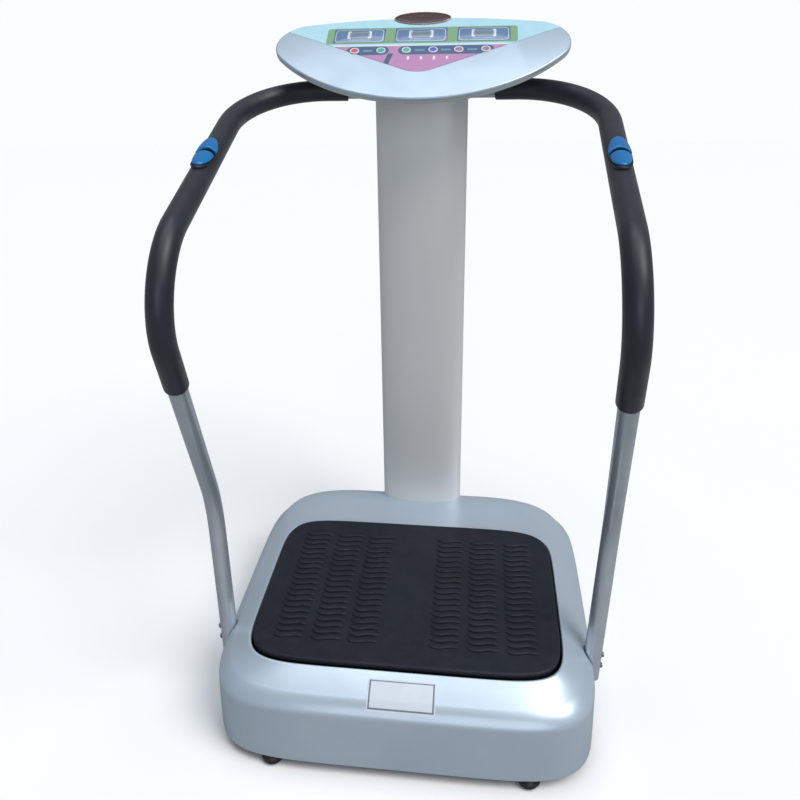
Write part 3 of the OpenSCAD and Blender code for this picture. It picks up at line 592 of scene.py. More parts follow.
KEY_COLOURS = {
    "key_power": Finish("key_red", paint(214, 70, 84), paint(204, 60, 76), 0.0, 0.26, 0.04, 900, 0.03, 30, 0.4),
    "key_start": Finish("key_teal", paint(64, 176, 158), paint(56, 164, 148), 0.0, 0.26, 0.04, 900, 0.03, 30, 0.4),
    "key_mode": Finish("key_teal", paint(64, 176, 158), paint(56, 164, 148), 0.0, 0.26, 0.04, 900, 0.03, 30, 0.4),
    "key_speed": Finish("key_indigo", paint(86, 92, 196), paint(76, 82, 184), 0.0, 0.26, 0.04, 900, 0.03, 30, 0.4),
    "key_slower": Finish("key_mauve", paint(156, 117, 155), paint(146, 108, 146), 0.0, 0.26, 0.04, 900, 0.03, 30, 0.4),
    "key_faster": Finish("key_mauve", paint(156, 117, 155), paint(146, 108, 146), 0.0, 0.26, 0.04, 900, 0.03, 30, 0.4),
}
KEPT = {
    "base_pan": STEEL, "base_frame": STEEL, "rubber_feet": RUBBER, "foot_studs": ZINC, "wheel_left": BLACK_PLASTIC,
    "wheel_right": BLACK_PLASTIC, "wheel_axles": ZINC, "power_inlet": BLACK_PLASTIC, "switch_bezel": BLACK_PLASTIC,
    "switch_rocker": ROCKER_RED, "control_board": SOLDER_MASK, "mains_lead": SHEATH, "motor_lead": SHEATH,
    "motor_case": MOTOR, "motor_mount": STEEL, "motor_shaft": ZINC, "motor_pulley": MACHINED, "drive_belt": RUBBER,
    "crank_pulley": MACHINED, "crank_shaft": ZINC, "pillow_blocks": CAST, "connecting_rod": CAST, "rod_pin": ZINC,
    "pivot_shaft": ZINC, "platform_frame": STEEL, "deck_plate": DECK_AND_GAP_SHADE, "bump_stops": RUBBER, "frame_bolts": ZINC,
    "rail_screws": ZINC, "column_post": STEEL, "column_cable": SHEATH, "display_modules": LCD_GREY,
    "console_board": SOLDER_MASK, "console_screws": ZINC, "grip_leads": SHEATH,
}


# ---------------------------------------------------------------- base


@dataclass
class RailPath:
    """Centre line of a handrail.

    Attributes:
        corners: Corner points of the right rail, in millimetres.
        bends: Radius of the bend at each inner corner.
    """

    corners: tuple[tuple[float, float, float], ...] = (
        (347.4, -155.4, 104), (369, -102, 410), (320, -366, 942), (340, 241, 1130), (60, 284, 1125.5))
    bends: tuple[float, ...] = (183, 124, 177)

    def corner(self, index: int, side: Side) -> Vector:
        """One corner, on either side.

        Args:
            index: Which corner, from the foot up.
            side: Left or right.

        Returns:
            The corner, in millimetres.
        """
        x, y, z = self.corners[index]
        return Vector((x * side.value, y, z))

    def part(self, index: int, share: float, side: Side) -> Vector:
        """A point a share of the way from one corner to the next.

        Args:
            index: Corner it starts at.
            share: How far along, 0 to 1.
            side: Left or right.

        Returns:
            The point.
        """
        return self.corner(index, side).lerp(self.corner(index + 1, side), share)

    def stations(self, points: Sequence[Vector], bends: Sequence[float],
                 step: float = 3.0) -> list[tuple[Vector, Vector]]:
        """Places and directions along a bent line.

        Args:
            points: Its corner points.
            bends: The bend's radius at each inner point.
            step: Degrees between stations on a bend.

        Returns:
            Place and direction of each station.
        """
        found = [(points[0], (points[1] - points[0]).normalized())]
        for before, here, after, radius in zip(points, points[1:], points[2:], bends):
            back, on = (before - here).normalized(), (after - here).normalized()
            half = back.angle(on) / 2
            start = here + back * radius / math.tan(half)
            middle = here + (back + on).normalized() * radius / math.sin(half)
            out = (start - middle).normalized()
            turn = math.pi - 2 * half
            count = math.ceil(math.degrees(turn) / step)
            for k in range(count + 1):
                a = turn * k / count
                found.append((middle + (out * math.cos(a) - back * math.sin(a)) * radius,
                              -back * math.cos(a) - out * math.sin(a)))
        found.append((points[-1], (points[-1] - points[-2]).normalized()))
        return found

    def rings(self, stations: Sequence[tuple[Vector, Vector]], radii: Sequence[float], sides: int) -> list[Ring]:
        """Rings round the stations, carried along without twist.

        Args:
            stations: Places and directions along the line.
            radii: Radius at each station.
            sides: Points in a ring.

        Returns:
            One ring for each station.
        """
        rings = []
        across = stations[0][1].orthogonal().normalized()
        for (place, way), radius in zip(stations, radii):
            across = (across - way * across.dot(way)).normalized()
            other = way.cross(across)
            turns = [2 * math.pi * k / sides for k in range(sides)]
            rings.append([place + (across * math.cos(t) + other * math.sin(t)) * radius for t in turns])
        return rings


@dataclass
class BaseShell:
    """Moulded cover over the drive, with the opening for the foot plate.

    Attributes:
        half_width: Half width at the crease, in millimetres.
        half_depth: Half depth at the crease.
        middle: Middle of the cover, front to back.
        opening: Half width, half depth and middle of the foot plate's opening.
        wall: Thickness of the moulding.
        plateau: Rise of the rear part, which the column stands in, over the shoulder.
        count: Points round the cover.
        rail: The handrail whose foot the cover holds.
    """

    half_width: float = 351
    half_depth: float = 316
    middle: float = -7
    opening: tuple[float, float, float] = (291, 208, -50)
    wall: float = 3
    plateau: float = 29
    count: int = 176
    rail: RailPath = field(default_factory=RailPath)

    def rings(self) -> list[Ring]:
        """Rings from the lower edge, over the crease and down into the opening."""
        a, b = self.half_width, self.half_depth
        rows = [(2.2, 1.2, 22), (3, 2, 23.2), (3, 2, 27), (2.3, 1.5, 60), (1.2, 0.8, 100), (0.3, 0.2, 130),
                (-0.2, -0.2, 136), (-1.3, -1.2, 140.2), (-3.8, -3.3, 144.4), (-8, -6.7, 149.6), (-13.8, -11.3, 155.8)]
        rings = [[Vector((x, y, z)) for x, y in squircle(a + da, b + db, 6.2, self.count, self.middle)] for da, db,
                 z in rows]
        shoulder = squircle(a - 20, b - 16, 6.2, self.count, self.middle + 4)
        oa, ob, oy = self.opening
        brim = squircle(oa + 4, ob + 4, 7.3, self.count, oy)
        for share in (0, 0.02, 0.04, 0.06, 0.08, 0.1, 0.13, 0.17, 0.22, 0.29, 0.37, 0.46, 0.56, 0.67, 0.78, 0.88, 0.95,
                      1):
            ring = []
            for i, ((sx, sy), (bx, by)) in enumerate(zip(shoulder, brim)):
                rear = smooth_step(0.42, 0.9, math.sin(2 * math.pi * i / self.count))
                level = 22 * (share * 0.82 + 0.18 * math.sin(share * math.pi / 2))
                raised = self.plateau * (1 - (1 - min(1.0,
                                                      share / 0.2)) ** 2.6) - (self.plateau - 22) * smooth_step(0.2, 1,
                                                                                                                share)
                z = 162 + level + (raised - level) * rear
                ring.append(Vector((sx + (bx - sx) * share, sy + (by - sy) * share, z)))
            rings.append(ring)
        for out, z in ((2.6, 184.4), (1.3, 184.1), (0.4, 183.2), (0, 181.8), (0, 172), (0, 161)):
            rings.append([Vector((x, y, z)) for x, y in squircle(oa + out, ob + out, 7.3, self.count, oy)])
        return rings

    def build(self, finish: Finish) -> None:
        """Mould the cover, with its rail pockets, wheel arches and rear openings.

        Args:
            finish: Look of the cover.
        """
        shell = loft("base_cover_skin", self.rings(), caps=(False, False))
        modify(shell, "SOLIDIFY", thickness=self.wall * MM, offset=-1.0, use_even_offset=False)
        for side in Side:
            foot, knee = self.rail.corner(0, side), self.rail.corner(1, side)
            way = (knee - foot).normalized()
            cup = drill(foot - way * 6, foot + way * 90, 22, 64)
            combine(cup, loft("limit", self.rings()), "INTERSECT")
            combine(shell, cup, "UNION")
            combine(shell, drill(foot - way * 3, foot + way * 130, 19, 64))
            x = 165 * side.value
            combine(shell, block((x - 14, 262, 0), (x + 14, 330, 58), 9))
        combine(shell, block((-135, 285, 64), (-105, 330, 86)))
        combine(shell, block((-81, 285, 61), (-59, 330, 89)))
        dress(shell, "base", "shell", finish, "base_cover", angle=28)
        self.label(shell)

    def label(self, shell: bpy.types.Object) -> None:
        """Lay a blank label with a printed border on the front slope.

        Args:
            shell: The cover that it lies on.
        """
        made = []
        for name, half_x, half_y, lift, finish in (
                ("front_label", 60, 22.0, 0.25, LABEL), ("front_label_border", 57.5, 19.8, 0.34, LABEL_LINE)):
            deselect()
            bpy.ops.mesh.primitive_grid_add(x_subdivisions=40, y_subdivisions=24, size=2)
            sheet = bpy.context.object
            sheet.name = sheet.data.name = name
            for vertex in sheet.data.vertices:
                vertex.co = Vector(((6 + vertex.co.x * half_x) * MM, (-294.5 + vertex.co.y * half_y) * MM, 0.24))
            modify(sheet, "SHRINKWRAP", target=shell, wrap_method="PROJECT", use_project_z=True,
                   use_negative_direction=True, use_positive_direction=False, offset=lift * MM)
            made.append((sheet, finish))
        border = made[1][0]
        select_vertices(border, lambda v: abs(v.co.x / MM - 6) < 54 and abs(v.co.y / MM + 294.5) < 17.6)
        bpy.ops.mesh.delete(type="VERT")
        bpy.ops.object.mode_set(mode="OBJECT")
        for sheet, finish in made:
            modify(sheet, "SOLIDIFY", thickness=0.12 * MM, offset=1.0)
            dress(sheet, "base", "shell", finish)


@dataclass
class FootPlate:
    """Rubber mat on the rocking plate, with its wavy ribs.

    Attributes:
        half_width: Half width of the mat, in millimetres.
        half_depth: Half depth.
        middle: Middle of the mat, front to back.
        top: Height of the mat between its ribs.
        columns: Middle of each column of ribs, on one side.
        rows: Ribs in a column.
    """

    half_width: float = 287
    half_depth: float = 204
    middle: float = -50
    top: float = 192
    columns: tuple[float, ...] = (76, 145, 216)
    rows: int = 20

    def rib(self, foot_shade: bpy.types.Material) -> bpy.types.Object:
        """Model one wavy rib round the origin, with a flat dark strip of painted shade round its foot.

        Args:
            foot_shade: Material of the strip round the foot, a painted shadow for the grooves between ribs.

        Returns:
            The rib.
        """
        deselect()
        bpy.ops.mesh.primitive_grid_add(x_subdivisions=10, y_subdivisions=10, size=2)
        rib = bpy.context.object
        profile = {5: (7.4, 0.06), 4: (5.7, 0.06), 3: (5.1, 1.5), 2: (4.1, 2.0), 1: (2.2, 2.15), 0: (0.0, 2.2)}
        for vertex in rib.data.vertices:
            u, step = vertex.co.x, round(abs(vertex.co.y) * 5)
            round_end = math.sqrt(max(0.0, 1 - abs(u) ** 6))
            out, height = profile[step]
            across = math.copysign(out, vertex.co.y) * (0.25 + 0.75 * round_end)
            vertex.co = Vector((u * 29.5, 2.2 * math.sin(math.pi * u * 1.05) + across,
                                0.06 + (height - 0.06) * min(1.0, round_end * 1.6))) * MM
            vertex.select = False
        rib.data.materials.append(MAT.material())
        rib.data.materials.append(foot_shade)
        # Faces of the flat strip round the foot take the painted shade, and the raised rib keeps the rubber.
        for face in rib.data.polygons:
            face.material_index = 1 if face.center.z < 0.0001 else 0
        return rib

    def build(self, finish: Finish) -> None:
        """Mould the mat and set the ribs on it.

        Args:
            finish: Look of the mat.
        """
        rows = [(-1.4, 182.1), (-0.4, 182.4), (0, 183.4), (0, 188.6), (-0.5, 190.2), (-1.5, 191.3), (-3, 191.9),
                (-5, 192)]
        a, b = self.half_width, self.half_depth
        mat = loft("mat", [[Vector((x, y, z)) for x, y in squircle(a + d, b + d, 7.3, 176, self.middle)]
                           for d, z in rows])
        mat.data.materials.append(finish.material())
        # Each rib carries a strip of painted shade round its foot.
        pattern = self.rib(MAT_GROOVE_SHADE.material())
        ribs = []
        start = self.middle - self.half_depth + 47
        pitch = 317 / self.rows
        for side in (-1, 1):
            for x in self.columns:
                for i in range(self.rows):
                    rib = pattern.copy()
                    rib.data = pattern.data.copy()
                    rib.data.transform(Matrix.Translation(Vector((side * x, start + pitch * (i + 0.5), self.top)) * MM))
                    bpy.context.collection.objects.link(rib)
                    ribs.append(rib)
        bpy.data.objects.remove(pattern)
        dress(join([mat, *ribs], "ribbed_mat"), "platform", "mat_black", finish, "deck_mat", angle=50)


# ---------------------------------------------------------------- column and console


@dataclass
class ConsoleFrame:
    """Where the console's face lies: x across, y up the slope, z out of the face.

    Attributes:
        tilt: Slope of the face, in degrees.
        rear: Place of the rear edge, front to back.
        height: Height of the rear edge.
        length: Length of the face down its slope.
        tip_radius: Radius of the side tips.
        tip_drop: How far the tips lie down the slope.
        front_radius: Radius of the curved front edge.
    """

    tilt: float = 32
    rear: float = 319.5
    height: float = 1257
    length: float = 246
    tip_radius: float = 62
    tip_drop: float = 81
    front_radius: float = 340

    def matrix(self) -> Matrix:
        """From the face's own millimetres to the machine's."""
        return Matrix.Translation((0, self.rear, self.height)) @ Matrix.Rotation(math.radians(self.tilt), 4, "X")

    def outline(self, fine: int = 2) -> list[tuple[float, float]]:
        """Outline of the face, from the right tip round the rear, left and front.

        Args:
            fine: How finely the arcs are cut.

        Returns:
            Points on the face.
        """
        front_middle = self.length - self.front_radius
        drop = self.tip_drop - front_middle
        tip_x = math.sqrt((self.front_radius - self.tip_radius) ** 2 - drop ** 2)
        rear_radius = (tip_x ** 2 + self.tip_drop ** 2 - self.tip_radius ** 2) / (2 * (self.tip_drop - self.tip_radius))
        low, high = math.atan2(-drop, tip_x), math.atan2(rear_radius - self.tip_drop, tip_x)
        pi = math.pi
        arcs = ((tip_x, -self.tip_drop, self.tip_radius, low, high, 12),
                (0, -rear_radius, rear_radius, high, pi - high, 20),
                (-tip_x, -self.tip_drop, self.tip_radius, pi - high, pi - low, 12),
                (0, -front_middle, self.front_radius, pi - low, 2 * pi + low, 40))
        points = []
        for x, y, r, start, end, count in arcs:
            count *= fine
            points += [(x + r * math.cos(start + (end - start) * i / count),
                        y + r * math.sin(start + (end - start) * i / count))
                       for i in range(count)]
        return points

    def ring(self, inset: float, z: float, fine: int = 2) -> Ring:
        """The outline moved in towards its middle, at a height over the face.

        Args:
            inset: How far it moves in.
            z: Height over the face.
            fine: How finely the arcs are cut.

        Returns:
            The ring, placed on the machine.
        """
        middle = Vector((0, -self.length * 0.42))
        ring = []
        for x, y in self.outline(fine):
            point = Vector((x, y))
            point += (middle - point).normalized() * inset
            ring.append(self.matrix() @ Vector((point.x, point.y, z)))
        return ring

    def place(self, obj: bpy.types.Object) -> bpy.types.Object:
        """Move a piece modelled on the flat to the console's face.

        Args:
            obj: The piece.

        Returns:
            The same piece.
        """
        turn = self.matrix()
        turn.translation *= MM
        obj.data.transform(turn)
        return obj


@dataclass
class Column:
    """The two painted covers round the steel post.

    Attributes:
        half_width: Half width, in millimetres.
        seam: Where the two covers meet, front to back.
        front: Front of the front cover at its middle.
        rear: Back of the rear cover.
        wall: Thickness of the covers.
        corner: Radius of the rear corners.
        console: The console that trims the top.
        rail: Centre line of the rails that pass through.
    """

    half_width: float = 91
    seam: float = 284
    front: float = 246
    rear: float = 308
    wall: float = 2.5
    corner: float = 10
    console: ConsoleFrame = field(default_factory=ConsoleFrame)
    rail: RailPath = field(default_factory=RailPath)

    def front_outline(self, inset: float) -> list[tuple[float, float]]:
        """Bowed front with rounded corners, from left to right.

        Args:
            inset: How far it moves in.

        Returns:
            Points across and front to back.
        """
        points = []
        for i in range(65):
            t = math.pi + math.pi * i / 64
            c, s = math.cos(t), math.sin(t)
            points.append((math.copysign(abs(c) ** (2 / 2.8), c) * (self.half_width - inset),
                           self.seam - 0.1 - abs(s) ** (2 / 2.8) * (self.seam - self.front - inset)))
        return points

    def rear_outline(self, inset: float) -> list[tuple[float, float]]:
        """Flat back with rounded corners, from right to left.

        Args:
            inset: How far it moves in.

        Returns:
            Points across and front to back.
        """
        points = [(self.half_width - inset, self.seam + 0.1)]
        for x, start in ((self.half_width - self.corner, 0), (-self.half_width + self.corner, 90)):
            points += [(x + (self.corner - inset) * math.cos(math.radians(start + a)),
                        self.rear - self.corner + (self.corner - inset) * math.sin(math.radians(start + a)))
                       for a in range(0, 91, 9)]
        return points + [(-self.half_width + inset, self.seam + 0.1)]

    def build(self, finish: Finish) -> None:
        """Press both covers, trim them under the console and bore them for the rails.

        Args:
            finish: Look of the covers.
        """
        for name, node, outline in (("column_front_cover", "column_front", self.front_outline),
                                    ("column_rear_cover", "column_rear", self.rear_outline)):
            flat = outline(0) + outline(self.wall)[::-1]
            cover = loft(name, [[Vector((x, y, z)) for x, y in flat] for z in (140, 420, 700, 980, 1235)])
            activate(cover)
            bpy.ops.object.mode_set(mode="EDIT")
            bpy.ops.mesh.select_all(action="SELECT")
            turn = self.console.matrix()
            bpy.ops.mesh.bisect(plane_co=turn @ Vector((0, 0, -42.4)) * MM, plane_no=turn.to_3x3() @ Vector((0, 0, 1)),
                                clear_outer=True, use_fill=True)
            bpy.ops.object.mode_set(mode="OBJECT")
            for side in Side:
                combine(cover, drill(self.rail.corner(4, side), self.rail.corner(3, side), 17.5))
            dress(cover, "base", "column_silver", finish, node, angle=30)


class PanelPrint:
    """Printed colours of the console's panel and display windows."""

    def __init__(self, console: ConsoleFrame) -> None:
        """Keep where the face lies.

        Args:
            console: Where the console's face lies.
        """
        self.console = console

    def begin(self, name: str) -> tuple[bpy.types.Material, Weaver, bpy.types.NodeSocket, bpy.types.NodeSocket,
                                        bpy.types.Node]:
        """Start a printed material.

        Args:
            name: Its name.

        Returns:
            The material, its weaver, the place across and up the face in millimetres, and the grain.
        """
        made = bpy.data.materials.new(name)
        made.use_nodes = True
        w = Weaver(made.node_tree)
        turn = self.console.matrix()
        flat = w.add("ShaderNodeMapping", w.add("ShaderNodeTexCoord").outputs["Object"], turn.translation * MM,
                     (math.radians(self.console.tilt), 0, 0), (MM, MM, MM), vector_type="TEXTURE")
        parts = w.add("ShaderNodeSeparateXYZ", flat.outputs[0])
        grain = w.add("ShaderNodeGroup", node_tree=Effects.grain())
        w.feed(grain.inputs[0], flat.outputs[0])
        grain.inputs[1].default_value, grain.inputs[2].default_value = 1.3, 0.03
        return made, w, parts.outputs[0], parts.outputs[1], grain

    def patch(self, w: Weaver, x: object, y: object, middle: tuple[float, float], half: tuple[float, float],
              corner: float) -> bpy.types.NodeSocket:
        """Mask of one printed patch.

        Args:
            w: Weaver of the material.
            x: Place across.
            y: Place up the slope.
            middle: Middle of the patch.
            half: Half width and half height.
            corner: Radius of its corners.

        Returns:
            1 inside the patch and 0 outside.
        """
        node = w.add("ShaderNodeGroup", node_tree=Effects.patch())
        for socket, value in zip(node.inputs, (x, y, *middle, *half, corner)):
            w.feed(socket, value)
        return node.outputs[0]

    def end(self, made: bpy.types.Material, w: Weaver, colour: bpy.types.NodeSocket, grain: bpy.types.Node,
            coat: float) -> bpy.types.Material:
        """Feed the shader and finish the material.

        Args:
            made: The material.
            w: Its weaver.
            colour: Its colour.
            grain: The grain group.
            coat: Weight of the clear coat.

        Returns:
            The finished material.
        """
        shader = made.node_tree.nodes["Principled BSDF"]
        w.feed(shader.inputs["Base Color"], colour)
        w.feed(shader.inputs["Roughness"], w.add("ShaderNodeMapRange", grain.outputs[1], 0.0, 1.0, 0.26,
                                                 0.36).outputs[0])
        bump = w.add("ShaderNodeBump", 0.03, 0.0003)
        w.feed(bump.inputs["Height"], grain.outputs[0])
        w.feed(shader.inputs["Normal"], bump.outputs[0])
        shader.inputs["Coat Weight"].default_value = coat
        return made

    def panel(self, keys: Sequence[float], key_row: float) -> bpy.types.Material:
        """Pale blue sheet with a green band, a mauve field and dark pills under the keys.

        Args:
            keys: Place of each key across.
            key_row: Place of the keys down the slope.

        Returns:
            The material.
        """
        made, w, x, y, grain = self.begin("panel_print")
        colour = w.blend(grain.outputs[1], paint(178, 220, 234), paint(168, 212, 228))
        layers = [((0, -140), (400, 48), 1, paint(184, 132, 176)), ((0, -90.7), (178, 1.0), 0.8, paint(232, 238, 242)),
                  ((0, -58.5), (181, 25.5), 7, paint(122, 164, 124))]
        for left, right in ((keys[0], keys[1]), (keys[2], keys[5])):
            layers.append((((left + right) / 2, -key_row), ((right - left) / 2 + 15, 13.5), 13, paint(62, 92, 130)))
        for left, right in zip(keys, keys[1:]):
            if left != keys[1]:
                layers.append((((left + right) / 2, -key_row), (9, 2.2), 1, paint(118, 146, 178)))
        layers += [((24 * i - 20, -130), (2.2, 5.5 - (i % 2)), 1.6, paint(226, 214, 230)) for i in range(4)]
        for middle, half, corner, tint in layers:
            colour = w.blend(self.patch(w, x, y, middle, half, corner), colour, tint)
        slanted = w.sum_up("SUBTRACT", x, w.sum_up("MULTIPLY", w.sum_up("ADD", y, 132.0), 0.22))
        colour = w.blend(self.patch(w, slanted, y, (-57, -133), (5, 18), 2), colour, paint(52, 92, 116))
        return self.end(made, w, colour, grain, 0.25)

    def window(self, pitch: float, row: float) -> bpy.types.Material:
        """Slate blue window with a pale outline, a grey display and two brackets.

        Args:
            pitch: Distance between windows.
            row: Place of the windows down the slope.

        Returns:
            The material.
        """
        made, w, x, y, grain = self.begin("display_window")
        x = w.sum_up("WRAP", x, pitch / 2, -pitch / 2)
        colour = w.blend(grain.outputs[1], paint(96, 124, 162), paint(88, 116, 154))
        for half, corner, tint in (((46.5, 19.5), 8, paint(206, 220, 232)), ((45.3, 18.3), 7, paint(98, 126, 164)),
                                   ((23, 11.5), 2, paint(214, 230, 244)), ((16.5, 12), 0.5, paint(98, 126, 164)),
                                   ((19.5, 8.5), 1, paint(150, 162, 170)), ((17, 6.5), 0.5, paint(112, 128, 142))):
            middle = (0, -row + (3 if half[0] < 40 else 0))
            colour = w.blend(self.patch(w, x, y, middle, half, corner), colour, tint)
        colour = w.blend(self.patch(w, x, y, (0, -row - 13.5), (20, 0.9), 0.4), colour, paint(160, 182, 206))
        return self.end(made, w, colour, grain, 0.6)


@dataclass
class Console:
    """Tilted control head on the column.

    Attributes:
        face: Where its face lies.
        keys: Middle of each key across the face, in millimetres.
        key_row: How far the keys lie down the slope.
        window_pitch: Distance between the display windows.
        window_row: How far the windows lie down the slope.
        badge_half: Half width and half height of the badge.
        badge_row: How far the badge's middle lies down the slope.
    """

    face: ConsoleFrame = field(default_factory=ConsoleFrame)
    keys: tuple[float, ...] = (-122.5, -72.5, -25, 25, 72.5, 122.5)
    key_row: float = 106
    window_pitch: float = 118
    window_row: float = 58
    badge_half: tuple[float, float] = (55, 20.5)
    badge_row: float = 4.5

    def badge_ring(self, inset: float, z: float, count: int) -> Ring:
        """Oval outline of the badge.

        Args:
            inset: How far it moves in.
            z: Height over the face.
            count: Points in it.

        Returns:
            The ring, placed on the machine.
        """
        matrix, (a, b) = self.face.matrix(), self.badge_half
        return [matrix @ Vector((x, y, z)) for x, y in squircle(a - inset, b - inset, 2, count, -self.badge_row)]

    def windows(self, grow: float, low: float, high: float) -> list[bpy.types.Object]:
        """Rounded blocks in the three windows, on the flat.

        Args:
            grow: How much larger than the openings.
            low: Height of the underside.
            high: Height of the top.

        Returns:
            One block for each window.
        """
        return [block((x - 48 - grow, -self.window_row - 21 - grow, low),
                      (x + 48 + grow, -self.window_row + 21 + grow, high))
                for x in (-self.window_pitch, 0, self.window_pitch)]

    def openings(self) -> bpy.types.Object:
        """The tool that opens a sheet for its windows and keys."""
        tools = self.windows(1.2, -6, 6)
        for tool in tools:
            modify(tool, "BEVEL", width=8 * MM, segments=6, limit_method="WEIGHT")
        for x in self.keys:
            tools.append(drill(Vector((x, -self.key_row, -6)), Vector((x, -self.key_row, 6)), 9.5))
        return self.face.place(join(tools, "openings"))

    def shells(self) -> None:
        """Mould the upper and the lower shell."""
        rows = [(3.4, -3), (3.4, -7), (1.4, -7), (0.5, -6.7), (0, -5.9), (0, -3.2), (0.3, -1.9), (1.1, -0.9),
                (2.4, -0.25), (4.2, 0)]
        bezel = loft("console_top_shell", [self.face.ring(*row) for row in rows])
        combine(bezel, self.openings())
        rows = ((0.6, -2.6), (0, -2.1), (0, -0.4), (0.4, -0.1))
        lobe = loft("badge_seat", [self.badge_ring(inset, z, 72) for inset, z in rows])
        combine(bezel, lobe, "UNION")
        dress(bezel, "base", "console_silver", CONSOLE_TOP, "console_bezel", angle=40)
        # The lower shell takes the greyer copy of the silver, partly as painted shade for its down-facing side.
        rows = [(50, -39), (45, -38.4), (26, -28), (6, -15), (3.6, -11.5), (3.6, -7.1), (1.2, -7.1), (0.5, -7.4),
                (0.2, -8.2), (0.2, -10.6),
                (0.8, -12.2), (3, -14.4), (12, -21), (24, -29.5), (34, -37), (38.5, -40.2), (42, -41.6), (46, -42)]
        dress(loft("console_lower_shell", [self.face.ring(*row) for row in rows]), "base", "console_grey",
              CONSOLE_UNDER_SHADED, "console_base", angle=40)

    def panel_ring(self, z: float) -> Ring:
        """Outline of the printed sheet: the rear edge and two sides that run to a rounded apex.

        Args:
            z: Height over the face.

        Returns:
            The outline.
        """
        ring = []
        radius, apex, corner = 58.0, 170.0, Vector((255.0, -43.0))
        middle = Vector((0.0, -100.0))
        lean = math.radians(32)
        touch = Vector((0, -apex + radius)) + radius * Vector((math.sin(lean), -math.cos(lean)))
        side = (touch - corner).normalized()
        for x, y in self.face.outline(3):
            point = Vector((x, y))
            way = (point - middle).normalized()
            reach = (point - middle).length - 3.5
            mirrored = Vector((abs(way.x), way.y))
            across = mirrored.x * side.y - mirrored.y * side.x
            gap = corner - middle
            if abs(across) > 1e-6:
                hit = (gap.x * side.y - gap.y * side.x) / across
                along = (gap.x * mirrored.y - gap.y * mirrored.x) / across
                if hit > 0 and -20 < along < (touch - corner).length:
                    reach = min(reach, hit)
            if mirrored.angle(Vector((0, -1))) < (touch - middle).angle(Vector((0, -1))):
                offset = middle - Vector((0, -apex + radius))
                half = offset.dot(mirrored)
                reach = min(reach, -half + math.sqrt(max(0.0, half * half - offset.length_squared + radius * radius)))
            point = middle + way * reach
            ring.append(self.face.matrix() @ Vector((point.x, point.y, z)))
        return ring

    def panel(self) -> None:
        """Lay the printed sheet, its windows, the keys and the badge."""
        print_work = PanelPrint(self.face)
        sheet = loft("printed_panel", [self.panel_ring(z) for z in (0.05, 0.6)])
        combine(sheet, self.openings())
        dress(sheet, "base", "panel_print", print_work.panel(self.keys, self.key_row), "console_overlay")
        lenses = join(self.windows(0.8, -2.6, 0.85), "display_windows")
        modify(lenses, "BEVEL", width=0.5 * MM, segments=2, limit_method="ANGLE", angle_limit=math.radians(40))
        dress(self.face.place(lenses), "base", "lens", print_work.window(self.window_pitch, self.window_row),
              "display_lenses")
        for x, (node, finish) in zip(self.keys, KEY_COLOURS.items()):
            self.key(x, node, finish)
        rows = [(0, 0.05), (0, 2.2), (0.5, 2.9), (1.2, 3.1), (1.9, 2.9), (2.2, 2.7), (3.2, 3.2), (6, 3.55), (10, 3.65)]
        badge = loft("badge_plate", [self.badge_ring(inset, z, 96) for inset, z in rows])
        badge.data.materials.append(BADGE.material())
        badge.data.materials.append(BADGE_RIM.material())
        turn = self.face.matrix().inverted()
        for face in badge.data.polygons:
            place = turn @ (face.center / MM)
            edge = math.hypot(place.x / 52.9, (place.y + self.badge_row) / 18.4)
            face.material_index = 1 if edge > 1 else 0
        dress(badge, "base", "badge_maroon", BADGE, "console_badge", angle=50)

    def key(self, x: float, node: str, finish: Finish) -> None:
        """Turn one round key with a raised pale ring and a coloured middle.

        Args:
            x: Place across.
            node: CAD node of the key.
            finish: Look of its middle.
        """
        rows = [(11, -4.6), (11, -3.5), (9, -3.4), (9, 1.2), (8.7, 1.7), (8.2, 1.95), (7.0, 2.0), (6.4, 1.7),
                (6.0, 1.45), (4.0, 1.6), (1.5, 1.68)]
        rings = [[self.face.matrix() @ Vector((x + r * math.cos(2 * math.pi * k / 40),
                                               -self.key_row + r * math.sin(2 * math.pi * k / 40), z))
                  for k in range(40)] for r, z in rows]
        key = loft(node + "_cap", rings)
        key.data.materials.append(KEY_RING.material())
        key.data.materials.append(finish.material())
        turn = self.face.matrix().inverted()
        for face in key.data.polygons:
            place = turn @ (face.center / MM)
            face.material_index = 1 if math.hypot(place.x - x, place.y + self.key_row) < 6.2 and place.z > 0 else 0
        slot = {"key_power": "key_red", "key_start": "key_teal", "key_mode": "key_teal",
                "key_speed": "key_indigo"}.get(node, "key_mauve")
        dress(key, node + "_body", slot, KEY_RING, node, angle=50)

    def build(self) -> None:
        """Build the whole console."""
        self.shells()
        self.panel()


# ---------------------------------------------------------------- handrails


